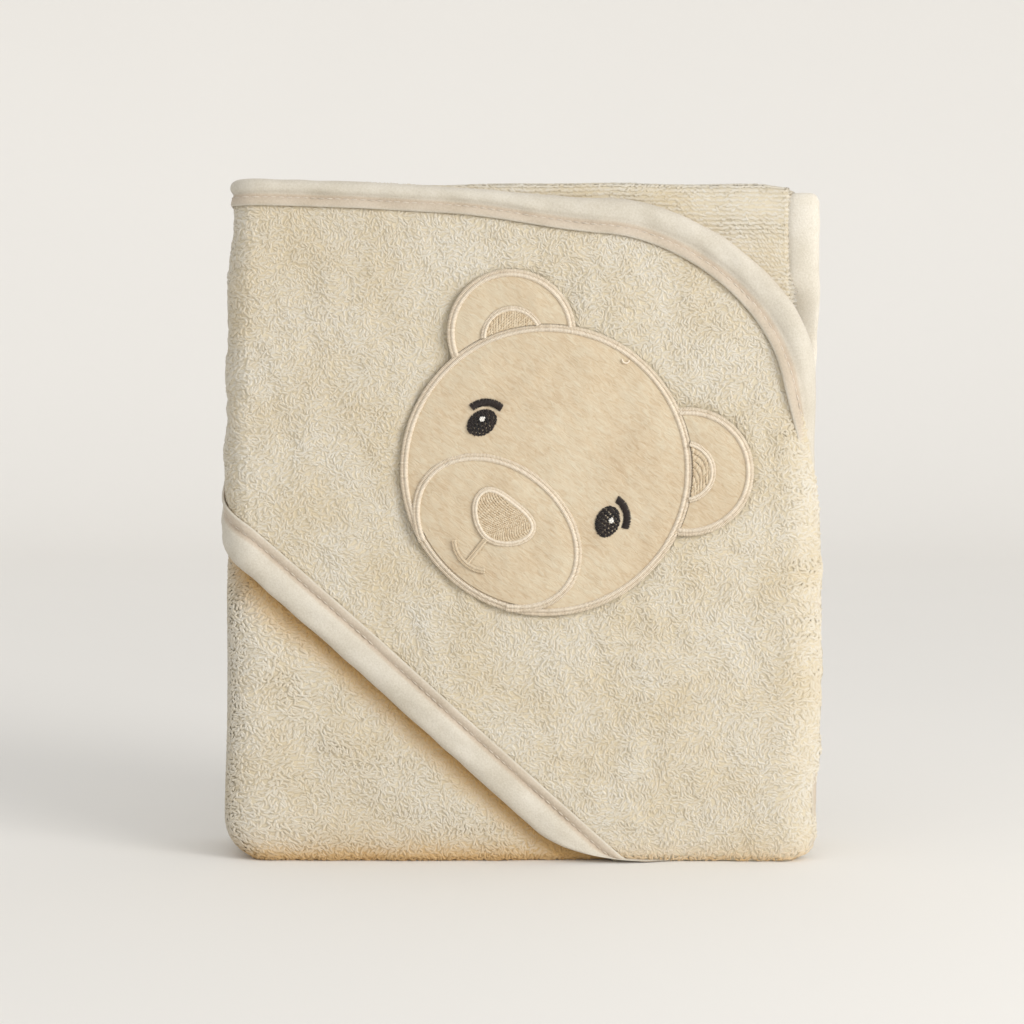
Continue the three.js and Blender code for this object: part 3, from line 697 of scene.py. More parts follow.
    def top_at(self, s: np.ndarray, inset: np.ndarray) -> np.ndarray:
        """The front sheet's edge.

        Args:
            s: how far along the skin.
            inset: how far inside the edge.

        Returns:
            The height there.
        """
        s = np.asarray(s, float)
        cx, cz = self.corner
        share = np.clip((s - self.slope_from) / (cx - self.slope_from), 0, 1)
        straight = self.top_edge + (self.top_at_corner - self.top_edge) * share**1.6 - inset
        radius = self.corner_radius - inset
        leg_s = cx + radius * math.cos(self.corner_end)
        arc = cz + np.sqrt(np.maximum(radius**2 - (s - cx) ** 2, 0))
        leg = cz + radius * math.sin(self.corner_end) - (s - leg_s) / math.tan(self.corner_end)
        return np.where(s <= cx, straight, np.where(s <= leg_s, arc, leg))

    @staticmethod
    def right_rim(s: np.ndarray, z: np.ndarray, full_s: float, full_z: float) -> np.ndarray:
        """How much the front sheet covers its tape, low down at the right edge.

        Args:
            s: how far along the skin.
            z: the height.
            full_s: how far along it is covered fully.
            full_z: how high up it is covered fully.

        Returns:
            The share, from 0 to 1.
        """
        return smooth(s, 96, full_s) * smooth(-z, -196, -full_z)

    @staticmethod
    def pressed(z: np.ndarray, bend: np.ndarray | float) -> np.ndarray:
        """Turns what would pass through the ground softly along it.

        Args:
            z: the heights.
            bend: how far over the ground the turn begins.

        Returns:
            Heights that never reach the ground.
        """
        start = bend + CLEARANCE
        turned = CLEARANCE + bend * np.exp((np.minimum(z, start) - bend - CLEARANCE) / bend)
        return np.where(z > start, z, turned)

    def opening_at(self, s: np.ndarray, inset: float) -> np.ndarray:
        """The hood's diagonal edge.

        Args:
            s: how far along the skin.
            inset: how far over the edge, across it.

        Returns:
            The height there.
        """
        return (self.opening_foot - s) * self.opening_slope + inset * math.hypot(1, self.opening_slope)


# ---------- meshes ----------


def volume(points: np.ndarray, triangles: np.ndarray) -> float:
    """Six times the volume inside triangles that face outwards.

    Args:
        points: the corners.
        triangles: three corners to a face.

    Returns:
        The volume, below zero where they face inwards.
    """
    a, b, c = (points[triangles[:, i]] for i in range(3))
    return float(np.einsum("ij,ij->i", a, np.cross(b, c)).sum())


def make_piece(name: str, points: np.ndarray, faces: np.ndarray,
               values: dict[str, np.ndarray] | None = None, angle: float = 180.0) -> bpy.types.Object:
    """Makes a closed piece out of triangles.

    Args:
        name: the piece's name.
        points: its corners, in the frame's millimetres.
        faces: three corners to a face.
        values: what each corner carries, by name.
        angle: edges sharper than this stay sharp, in degrees.

    Returns:
        The piece, its faces outwards.
    """
    faces = np.asarray(faces, np.int32)
    centred = points - points.mean(0)
    if volume(centred, faces) < 0:
        faces = faces[:, ::-1]
    mesh = bpy.data.meshes.new(name)
    mesh.vertices.add(len(points))
    mesh.vertices.foreach_set("co", (points * MM).astype(np.float32).ravel())
    mesh.loops.add(faces.size)
    mesh.loops.foreach_set("vertex_index", np.ascontiguousarray(faces).ravel())
    mesh.polygons.add(len(faces))
    mesh.polygons.foreach_set("loop_start", np.arange(0, faces.size, 3, dtype=np.int32))
    mesh.update(calc_edges=True)
    mesh.polygons.foreach_set("use_smooth", np.ones(len(faces), bool))
    for key, value in (values or {}).items():
        held = mesh.attributes.new(key, "FLOAT", "POINT")
        held.data.foreach_set("value", np.ascontiguousarray(value, np.float32).ravel())
    mesh.validate()
    piece = bpy.data.objects.new(name, mesh)
    bpy.context.scene.collection.objects.link(piece)
    if angle < 180:
        bpy.ops.object.select_all(action="DESELECT")
        piece.select_set(True)
        bpy.context.view_layer.objects.active = piece
        bpy.ops.object.shade_smooth_by_angle(angle=math.radians(angle))
    return piece


def grid_faces(rows: int, columns: int, start: int = 0) -> np.ndarray:
    """Triangles of a grid of points, numbered row by row.

    Args:
        rows: how many rows of points.
        columns: how many points to a row.
        start: the first point's number.

    Returns:
        The triangles.
    """
    i, j = np.meshgrid(np.arange(rows - 1), np.arange(columns - 1), indexing="ij")
    a = (i * columns + j).ravel() + start
    b, c, d = a + 1, a + columns + 1, a + columns
    return np.concatenate([np.stack([a, b, c], 1), np.stack([a, c, d], 1)])


def closed_sheet(front: np.ndarray, back: np.ndarray) -> tuple[np.ndarray, np.ndarray]:
    """Joins two grids of points into one closed sheet.

    Args:
        front: the grid of one side.
        back: the grid of the other side.

    Returns:
        The points and the triangles.
    """
    rows, columns = front.shape[:2]
    count = rows * columns
    points = np.concatenate([front.reshape(-1, 3), back.reshape(-1, 3)])
    faces = [grid_faces(rows, columns), grid_faces(rows, columns, count)[:, ::-1]]
    index = np.arange(count).reshape(rows, columns)
    rim = np.concatenate([index[0, :-1], index[:-1, -1], index[-1, :0:-1], index[:0:-1, 0]])
    after = np.roll(rim, -1)
    faces.append(np.stack([rim, rim + count, after + count], 1))
    faces.append(np.stack([rim, after + count, after], 1))
    return points, np.concatenate(faces)


def closed_bar(rings: np.ndarray) -> tuple[np.ndarray, np.ndarray]:
    """Joins rings of points into one closed bar with a middle point at each end.

    Args:
        rings: the rings, each with the same number of points.

    Returns:
        The points and the triangles.
    """
    count, size = rings.shape[:2]
    i, j = np.meshgrid(np.arange(count - 1), np.arange(size), indexing="ij")
    a = (i * size + j).ravel()
    b = (i * size + (j + 1) % size).ravel()
    faces = [np.stack([a, b, b + size], 1), np.stack([a, b + size, a + size], 1)]
    ends = np.stack([rings[0].mean(0), rings[-1].mean(0)])
    j = np.arange(size)
    last = (count - 1) * size
    total = count * size
    faces.append(np.stack([(j + 1) % size, j, np.full(size, total)], 1))
    faces.append(np.stack([last + j, last + (j + 1) % size, np.full(size, total + 1)], 1))
    return np.concatenate([rings.reshape(-1, 3), ends]), np.concatenate(faces)


def even_steps(line: np.ndarray, pitch: float) -> tuple[np.ndarray, np.ndarray]:
    """Walks a line in even steps.

    Args:
        line: the points of the line.
        pitch: about how long a step is.

    Returns:
        The points and their directions.
    """
    points = spaced(line, max(2, round(distance_along(line)[-1] / pitch) + 1))
    direction = np.gradient(points, axis=0)
    direction /= np.linalg.norm(direction, axis=1, keepdims=True)
    return points, direction


# ---------- the towel ----------


@dataclass
class LoopPile:
    """Terry loops: short arched strands of yarn that stand on a cloth, each lying its own way."""

    pitch: float = 1.2
    length: float = 2.5
    radius: float = 0.54
    height: float = 0.3
    flatness: float = 0.62
    lift: float = 0.04
    softness: float = 0.56
    swirl: float = 15.0
    ribs: bool = False
    seed: int = 5
    most: int = 9800

    def scatter(self, low: tuple[float, float], high: tuple[float, float]) -> np.ndarray:
        """Spreads the loops' feet over an oblong.

        Args:
            low: the oblong's low corner.
            high: its high corner.

        Returns:
            The places.
        """
        rng = np.random.default_rng(self.seed)
        across = np.arange(low[0], high[0], self.pitch)
        up = np.arange(low[1], high[1], self.pitch * (1.5 if self.ribs else 0.92))
        a, b = np.meshgrid(across, up, indexing="ij")
        if not self.ribs:
            b = b + (np.arange(len(across)) % 2)[:, None] * self.pitch * 0.46
        jitter = 0.13 if self.ribs else 0.36
        spots = np.stack([a.ravel(), b.ravel()], 1)
        return spots + rng.normal(0, jitter, spots.shape) * self.pitch

    def build(self, name: str, spots: np.ndarray, surface: object, press: np.ndarray | float = 1.0,
              painted_warm_shade: np.ndarray | float = 0.0) -> list[bpy.types.Object]:
        """Makes the loops.

        Args:
            name: what the pieces are called.
            spots: the loops' places on the cloth.
            surface: turns places and heights into points in the plan.
            press: how tall each loop stands, 1 where nothing presses it; pressed loops also take a darker
                painted shade.
            painted_warm_shade: how much painted warm shade each loop takes, for the shade and the warm
                bounced light under the hood's edge and near the floor.

        Returns:
            The pieces.
        """
        rng = np.random.default_rng(self.seed + 1)
        count = len(spots)
        press, painted_warm_shade = np.broadcast_to(press, count), np.broadcast_to(painted_warm_shade, count)
        flow = Drift(self.seed + 2, self.swirl * 2.4, 11)
        turn = Drift(self.seed + 3, self.swirl * 5, 7)
        a, b = spots[:, 0], spots[:, 1]
        heading = 1.5 * flow(a, b) + 1.1 * turn(a, b) + rng.normal(0, 0.65, count)
        if self.ribs:
            heading = 0.3 * flow(a, b) + rng.normal(0, 0.3, count)
        size = self.length * rng.uniform(0.72, 1.15, count) / 2
        tall = self.height * rng.uniform(0.72, 1.2, count) * press
        thick = self.radius * rng.uniform(0.85, 1.12, count)
        bend = rng.normal(0, 0.6, count)
        along = np.array([-1.0, -0.5, 0.5, 1.0])
        rise = np.array([-0.6, 0.6, 0.6, -0.6])
        spin = np.array([math.pi / 2, math.pi * 7 / 6, math.pi * 11 / 6])
        waist = np.array([0.75, 1.0, 1.0, 0.75])
        ahead = np.stack([np.cos(heading), np.sin(heading)], 1)
        side = np.stack([-np.sin(heading), np.cos(heading)], 1)
        rings = (
            spots[:, None, None, :]
            + ahead[:, None, None, :] * (size[:, None] * along)[:, :, None, None]
            + side[:, None, None, :] * (bend[:, None] * (0.6 - along**2))[:, :, None, None]
            + side[:, None, None, :]
            * ((thick[:, None] * waist)[:, :, None] * np.cos(spin))[..., None]
        )
        across = (thick[:, None] * waist)[:, :, None] * np.sin(spin) * self.flatness
        height = self.lift + (tall[:, None] * rise)[:, :, None] + across
        points = surface(rings[..., 0], rings[..., 1], height)
        # Painted shade: the crown value darkens each loop's feet and lower sides, lightens its top, and
        # darkens pressed loops.
        crown = np.clip(np.array([0.25, 0.8, 0.8, 0.25])[:, None] + 0.25 * np.sin(spin), 0, 1)
        crown = np.broadcast_to(crown * np.clip(press, 0.6, 1)[:, None, None], height.shape)
        tint = np.broadcast_to(rng.random(count)[:, None, None], height.shape)
        warm = np.broadcast_to(painted_warm_shade[:, None, None], height.shape)
        nap = self._nap(spots, side, spin, surface)
        return self._pieces(name, points, {"crown": crown, "tint": tint, "painted_warm_shade": warm}, nap)

    def _nap(self, spots: np.ndarray, side: np.ndarray, spin: np.ndarray, surface: object) -> np.ndarray:
        """Turns the shading of every loop towards the cloth's own, as the fluff of cotton yarn does.

        Args:
            spots: the loops' places.
            side: the way across each loop.
            spin: where round its section each corner lies.
            surface: turns places and heights into points in the plan.

        Returns:
            The shading direction at every corner.
        """
        level = np.zeros(len(spots))
        up = surface(spots[:, 0], spots[:, 1], level + 1) - surface(spots[:, 0], spots[:, 1], level)
        right, left = spots + side * 0.5, spots - side * 0.5
        across = surface(right[:, 0], right[:, 1], level) - surface(left[:, 0], left[:, 1], level)
        up /= np.linalg.norm(up, axis=1, keepdims=True).clip(1e-6)
        across /= np.linalg.norm(across, axis=1, keepdims=True).clip(1e-6)
        own = across[:, None] * np.cos(spin)[:, None] + up[:, None] * np.sin(spin)[:, None]
        mixed = own * (1 - self.softness) + up[:, None] * self.softness
        mixed /= np.linalg.norm(mixed, axis=2, keepdims=True).clip(1e-6)
        return np.broadcast_to(mixed[:, None], (len(spots), 4, 3, 3))

    def _pieces(self, name: str, points: np.ndarray, values: dict[str, np.ndarray],
                nap: np.ndarray) -> list[bpy.types.Object]:
        """Joins the loops into a few pieces.

        Args:
            name: what the pieces are called.
            points: the loops' rings.
            values: what each corner carries.
            nap: the shading direction at each corner.

        Returns:
            The pieces.
        """
        tube = []
        for ring in range(3):
            for corner in range(3):
                a, b = ring * 3 + corner, ring * 3 + (corner + 1) % 3
                tube += [(a, b, b + 3), (a, b + 3, a + 3)]
        tube += [(2, 1, 0), (9, 10, 11)]
        tube = np.array(tube)
        count = len(points)
        parts = max(1, math.ceil(count / self.most))
        made = []
        for part in range(parts):
            low, high = count * part // parts, count * (part + 1) // parts
            some = points[low:high].reshape(-1, 3)
            faces = repeated(tube, high - low, 12)
            held = {key: value[low:high].ravel() for key, value in values.items()}
            title = name if parts == 1 else f"{name}_{part + 1}"
            piece = make_piece(title, some, faces, held)
            piece.data.normals_split_custom_set_from_vertices(nap[low:high].reshape(-1, 3))
            made.append(piece)
        return made


@dataclass
class TowelSheet:
    """The towel itself: one square of cloth, folded to and fro, then folded across into four packs."""

    bundle: Bundle
    wardrobe: Wardrobe
    pitch: float = 3.1
    thickness: float = 2.9
    flat: float = 0.9
    turn_x: float = -92.0
    turn_reach: float = 13.4
    turn_power: float = 4.4
    fold_x: float = 96.0
    fold_radius: float = 12.4
    inner_x: float = -75.0
    end_x: float = 99.0
    low_fold: float = 3.0
    top_fold: float = 251.0
    last_row: float = 142.0
    face: float = 25.0
    ridge_radius: float = 2.95
    lump: Drift = field(default_factory=lambda: Drift(21, 26.0, 10))

    def __post_init__(self) -> None:
        """Works out the folded plan at every depth."""
        self.offsets = np.arange(-2.0, 13.01, 0.5)
        self.lines = np.array([self._line(w) for w in self.offsets])
        self.way = distance_along(self.lines[int(np.argmin(np.abs(self.offsets)))])

    def _line(self, w: float) -> np.ndarray:
        """The way of one layer from above, from the front sheet's right edge to the last pack's end."""
        sheet = 4.0
        end_s = self.bundle.sheet_end
        straight_s = self.bundle.right - self.bundle.right_corner
        s = np.append(np.linspace(end_s, straight_s, 9)[:-1], np.linspace(straight_s, self.turn_x, 48))
        wrapped = self.bundle.wrap(s, np.zeros_like(s), np.full_like(s, sheet - w))[:, :2]
        flat_x = np.where(s > straight_s, straight_s + (s - straight_s) * 0.1, s)
        level = np.stack([flat_x, np.full_like(s, -self.face + w)], 1)
        share = float(smooth(np.array(w), 1.55, 4.65))
        front = wrapped * (1 - share) + level * share
        across = max(self.turn_reach - w * 0.95, 0.8)
        angle = np.linspace(-math.pi / 2, math.pi / 2, 361)
        power = 2 / self.turn_power
        turn = np.stack([
            self.turn_x - across * np.cos(angle).clip(0) ** power,
            (self.face - w) * squared(np.sin(angle), power),
        ], 1)
        turn = spaced(turn, 27)
        back_x = np.linspace(self.turn_x, self.fold_x, 44)[:-1]
        back = np.stack([back_x, np.full_like(back_x, self.face - w)], 1)
        radius = max(self.fold_radius - w, 0.3)
        middle = self.face - self.fold_radius - 0.2
        angle = np.linspace(math.pi / 2, -math.pi / 2, 17)
        fold = np.stack([self.fold_x + radius * np.cos(angle), middle + radius * np.sin(angle)], 1)
        third_x = np.linspace(self.fold_x, self.inner_x, 38)[1:-1]
        third = np.stack([third_x, np.full_like(third_x, max(w, 0.3) + 0.2)], 1)
        angle = np.linspace(0, math.pi, 13)
        radius = max(w, 0.3)
        inner = np.stack([self.inner_x - radius * np.sin(angle), (radius + 0.2) * np.cos(angle)], 1)
        last_x = np.linspace(self.inner_x, self.end_x, 38)[1:]
        last = np.stack([last_x, np.full_like(last_x, -radius - 0.2)], 1)
        return np.concatenate([front, turn[1:], back[1:], fold, third, inner, last])

    def plan(self, way: np.ndarray, w: np.ndarray) -> tuple[np.ndarray, np.ndarray]:
        """Reads the folded plan.

        Args:
            way: how far along the outer layer.
            w: how deep under its outer face.

        Returns:
            x and y.
        """
        way, w = np.broadcast_arrays(way, w)
        column = np.interp(way, self.way, np.arange(len(self.way)))
        row = np.clip((w - self.offsets[0]) / 0.5, 0, len(self.offsets) - 1.001)
        i, j = column.astype(int).clip(0, len(self.way) - 2), row.astype(int)
        fi, fj = (column - i)[..., None], (row - j)[..., None]
        lines = self.lines
        low = lines[j, i] * (1 - fi) + lines[j, i + 1] * fi
        high = lines[j + 1, i] * (1 - fi) + lines[j + 1, i + 1] * fi
        found = low * (1 - fj) + high * fj
        return found[..., 0], found[..., 1]

    def skin_s(self, way: np.ndarray) -> np.ndarray:
        """Where along the bundle's skin a place on the outer layer lies, about."""
        return self.bundle.sheet_end - way

    def build(self) -> None:
        """Makes the cloth and its pile."""
        cloth = self.cloth()
        pile = self.front_pile() + self.back_pile() + self.ridge_pile()
        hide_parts("towel_body")
        for piece in (cloth, *pile):
            self.wardrobe.dress(piece, Slot.TERRY)
        LOG.info("towel sheet with %d pieces of pile", len(pile))

    def cloth(self) -> bpy.types.Object:
        """Makes the folded cloth under its loops."""
        half = self.pitch / 2
        stops = [(half, self.low_fold, 1 - share) for share in np.linspace(0, 1, 40)]

        def fold(middle: float, level: float, up: int) -> None:
            """Goes round one fold."""
            for angle in (math.pi * k / 6 for k in range(1, 6)):
                stops.append((middle - half * math.cos(angle), level + up * half * math.sin(angle), 0.0))

        def row(depth: float, start: float, end: float, count: int) -> None:
            """Goes up or down one row."""
            stops.extend((depth, level, 0.0) for level in np.linspace(start, end, count))

        fold(self.pitch, self.low_fold, -1)
        row(3 * half, self.low_fold, self.top_fold, 30)
        fold(2 * self.pitch, self.top_fold, 1)
        row(5 * half, self.top_fold, self.low_fold, 20)
        fold(3 * self.pitch, self.low_fold, -1)
        row(7 * half, self.low_fold, self.last_row, 10)
        depths, heights, shares = np.array(stops).T[:, None, :]
        way = self.way[:, None]
        s = self.skin_s(way)
        top = self.bundle.top_at(s, self.bundle.roll_width(s) + 0.6)
        z = heights + shares * (top - self.low_fold)
        x, y = self.plan(way, depths)
        middle = np.stack([x, y, np.broadcast_to(z, x.shape)], -1)
        across = np.gradient(middle, axis=0)
        up = np.gradient(middle, axis=1)
        out = np.cross(across, up)
        out /= np.linalg.norm(out, axis=-1, keepdims=True).clip(1e-9)
        out = out * self.thickness / 2
        points, faces = closed_sheet(middle + out, middle - out)
        place = self.bundle.settle(self.swell(points))
        # The ground between the loops takes the painted crevice shade. The front face below the hood's edge
        # and near the floor takes the painted warm shade.
        ground = np.full(len(points), PAINTED_GROUND_SHADE)
        painted_warm_shade = self.painted_warm_shade(points[:, 0], points[:, 2]) * smooth(-points[:, 1], 10, 20)
        values = {"crown": ground, "tint": ground + 0.3, "painted_warm_shade": painted_warm_shade}
        return make_piece("towel_cloth", place, faces, values)

    def swell(self, points: np.ndarray) -> np.ndarray:
        """Lets the towel bulge where the hood no longer holds it, at the left and in front.

        Args:
            points: points in the plan.

        Returns:
            The bulged points.
        """
        x, y, z = (points[..., i].copy() for i in range(3))
        s = x - 1.35 * np.clip(y + 21, 0, 42) * smooth(-x, 84, 100)
        gap = self.bundle.opening_at(s, 0.0) - z
        x -= 5.6 * smooth(-x, 72, 101) * smooth(gap, 1, 16)
        lumps = 0.3 * self.lump(x, z)
        y -= (1.7 * smooth(gap, 4, 26) + lumps) * smooth(-y, 15, 21)
        return np.stack([x, y, z], -1)

    def outer(self, way: np.ndarray, v: np.ndarray, height: np.ndarray) -> np.ndarray:
        """Places points over the outer face, where v is the height and, below zero, the turn under.

        Args:
            way: how far along the outer layer.
            v: how high, or how far round the bottom fold where it is below zero.
            height: how far out of the cloth.

        Returns:
            The settled points.
        """
        radius = self.low_fold
        angle = np.clip(-v / radius, 0, 1.3)
        w = radius + 0.1 - (radius + height) * np.cos(angle)
        z = np.where(v > 0, v + self.low_fold, self.low_fold - (radius + height) * np.sin(angle))
        x, y = self.plan(way, w)
        return self.bundle.settle(self.swell(np.stack([x, y, z.clip(0.05)], -1)))

    def painted_warm_shade(self, s: np.ndarray, z: np.ndarray) -> np.ndarray:
        """How much painted warm shade the front takes, under the hood's edge and near the ground, where
        shade and warm bounced light fall.

        Args:
            s: how far along the skin.
            z: the height.

        Returns:
            The painted warm shade, from 0 to 1.
        """
        gap = (self.bundle.opening_at(s, 0.0) - z) / EDGE_STEEPNESS
        under = np.clip(1 - gap / 9.0, 0, 1) ** 1.3 * smooth(gap, -16, -9)
        return np.maximum(under, 0.9 * np.exp(-np.clip(z + 1 - self.low_fold, 0, None) / 4.0))

    def front_pile(self) -> list[bpy.types.Object]:
        """Makes the loops of the front and the left side, under the hood's edge."""
        loops = LoopPile(lift=0.1, seed=41)
        spots = loops.scatter((82.0, -3.0), (262.0, 150.0))
        s = self.skin_s(spots[:, 0])
        under = self.bundle.opening_at(s, 7.0)
        spots = spots[spots[:, 1] + self.low_fold < under]
        s = self.skin_s(spots[:, 0])
        # Painted warm shade for the loops under the hood's edge and near the floor.
        painted_warm_shade = self.painted_warm_shade(s, spots[:, 1] + self.low_fold)
        return loops.build("towel_pile_front", spots, self.outer, painted_warm_shade=painted_warm_shade)

    def back_pile(self) -> list[bpy.types.Object]:
        """Makes the loops of the back, the back of the left side and the fold at the right."""
        loops = LoopPile(seed=51, **COARSE_LOOPS)
        spots = loops.scatter((262.0, -3.0), (514.0, 247.0))
        s = self.skin_s(spots[:, 0])
        under = np.where(s > -262, self.bundle.opening_at(s, 7.0), 999.0)
        top = np.where(self.skin_s(spots[:, 0]) < -352, 999.0, self.bundle.top_edge - 10.5)
        level = spots[:, 1] + self.low_fold
        spots = spots[(level < under) & (level < top)]
        return loops.build("towel_pile_back", spots, self.outer)

    def ridge(self, way: np.ndarray, v: np.ndarray, height: np.ndarray) -> np.ndarray:
        """Places points over the second row: up its front, over its top fold and down behind.

        Args:
            way: how far along the outer layer.
            v: how far over the row's height where its fold begins, below zero under it.
            height: how far out of the cloth.

        Returns:
            The settled points.
        """
        radius = self.ridge_radius
        angle = np.clip(v / radius, 0, math.pi)
        over = np.maximum(v - math.pi * radius, 0)
        w = 2 * self.pitch - (radius + height) * np.cos(angle)
        z = self.top_fold + np.minimum(v, 0) + (radius + height) * np.sin(angle) - over
        x, y = self.plan(way, w)
        return self.bundle.settle(self.swell(np.stack([x, y, z], -1)))

    def ridge_pile(self) -> list[bpy.types.Object]:
        """Makes the loops of the row behind: its face beside the round corner, and the top folds."""
        made = []
        fine = LoopPile(seed=61, **CORNER_LOOPS)
        spots = fine.scatter((1.0, -120.0), (150.0, 9.0))
        x, _ = self.plan(spots[:, 0], np.full(len(spots), 6.2))
        edge = self.bundle.top_at(x, 6.0)
        spots = spots[(self.top_fold + spots[:, 1] > edge) & (x < 97.6)]
        made += fine.build("towel_pile_corner", spots, self.ridge)
        coarse = LoopPile(seed=71, **TOP_LOOPS)
        spots = coarse.scatter((150.0, -3.0), (float(self.way[-1]), 12.0))
        made += coarse.build("towel_pile_top", spots, self.ridge)
        return made


@dataclass
class HoodSheet:
    """The corner of cloth that makes the hood, with the bear sewn to it."""

    bundle: Bundle
    wardrobe: Wardrobe
    face: "Face"
    low: float = 5.3
    high: float = 7.85
    side_from: float = -121.0
    flat_length: float = 0.2545
    rim_rise: float = 1.9
    rim_reach: float = 3.3
    lump: Drift = field(default_factory=lambda: Drift(31, 19.0, 12))
    swell: Drift = field(default_factory=lambda: Drift(32, 46.0, 10))
    knot: Drift = field(default_factory=lambda: Drift(33, 9.0, 12))

    def relief(self, s: np.ndarray, z: np.ndarray) -> np.ndarray:
        """How far the hood's face stands off its mean, soft lumps and the dip round the bear.

        Args:
            s: how far along the skin.
            z: the height.

        Returns:
            The difference, in millimetres.
        """
        lumps = 0.25 * self.lump(s, z) + 0.35 * self.swell(s, z) + 0.2 * self.knot(s, z)
        away = self.face.distance(s, z)
        dip = -0.75 * np.exp(-np.clip(away, 0, None) / 4.5)
        edge = np.minimum(
            (z - self.bundle.opening_at(s, 14.2)) / EDGE_STEEPNESS,
            self.bundle.top_at(s, self.bundle.roll_width(s) + 3.7) - z,
        )
        near = np.exp(-np.clip(edge, 0, None) / 5)
        bottom = -1.8 * np.clip(1 - z / 3.0, 0, 1) ** 2
        rim = self.rim_rise * self.bundle.right_rim(s, z, 105, 158)
        return (lumps + dip) * (1 - near) + rim + bottom - 0.1

    def surface(self, s: np.ndarray, z: np.ndarray, height: np.ndarray) -> np.ndarray:
        """Places points over the hood's face.

        Args:
            s: how far along the skin.
            z: the height over the ground.
            height: how far out of the cloth.

        Returns:
            The settled points.
        """
        level = self.high + self.relief(s, z) + height
        points = self.bundle.wrap(s, np.maximum(z, 0.05), level)
        return self.bundle.settle(points)

    def build(self) -> None:
        """Makes the cloth and its pile."""
        tip = self.bundle.opening_foot - (self.bundle.top_edge - 21.0) / self.bundle.opening_slope
        end = self.bundle.sheet_end
        s = np.linspace(tip, end, 168)[:, None]
        low = np.maximum(0.3, self.bundle.opening_at(s, 10.8))
        high = self.bundle.top_at(s, self.bundle.roll_width(s) + 0.6)
        share = np.linspace(0, 1, 92)[None, :]
        z = low + (np.maximum(high, low + 0.5) - low) * share
        s = np.broadcast_to(s, z.shape)
        front = self.surface(s, z, np.zeros(z.shape))
        back = self.bundle.settle(self.bundle.wrap(s, z, np.full(z.shape, self.low)))
        points, faces = closed_sheet(front, back)
        # The hood's ground takes the painted crevice shade and no painted warm shade.
        ground = np.full(len(points), PAINTED_GROUND_SHADE)
        values = {"crown": ground, "tint": ground + 0.3, "painted_warm_shade": ground * 0}
        cloth = make_piece("hood_cloth", points, faces, values)
        pile = self.pile(tip, end)
        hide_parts("hood_panel")
        for piece in (cloth, *pile):
            self.wardrobe.dress(piece, Slot.TERRY)

    def pile(self, tip: float, end: float) -> list[bpy.types.Object]:
        """Makes the hood's loops.

        Args:
            tip: where the hood's far corner is.
            end: where its right edge is.

        Returns:
            The pieces.
        """
        made = []
        for name, loops, low, high in (
            ("hood_pile_front", LoopPile(seed=81), self.side_from, end - 0.3),
            ("hood_pile_side", LoopPile(seed=91, **COARSE_LOOPS), tip, self.side_from),
        ):
            spots = loops.scatter((low, 0.6), (high, 252.0))
            s, z = spots[:, 0], spots[:, 1]
            floor = self.bundle.pressed(self.bundle.opening_at(s, 14.2), 2.4)
            floor = np.where(s > 50, 0.3, floor)
            over = self.rim_reach * self.bundle.right_rim(s, z, 103, 165)
            top = self.bundle.top_at(s, self.bundle.roll_width(s) + 4.0 - over)
            away = self.face.distance(s, z)
            keep = (z > floor) & (z < top) & (away > 0.35)
            spots, away = spots[keep], away[keep]
            edge = np.minimum((z - floor)[keep] / EDGE_STEEPNESS, (top - z)[keep])
            # Loops near the bear and the hood's edges stand lower and take a darker painted shade. Loops
            # near the floor take the painted warm shade.
            press = 0.62 + 0.38 * smooth(np.minimum(away, edge + 0.5), 0.2, 3.2)
            made += loops.build(name, spots, self.surface, press, 0.85 * np.exp(-spots[:, 1] / 3.0))
        return made


# ---------- binding ----------


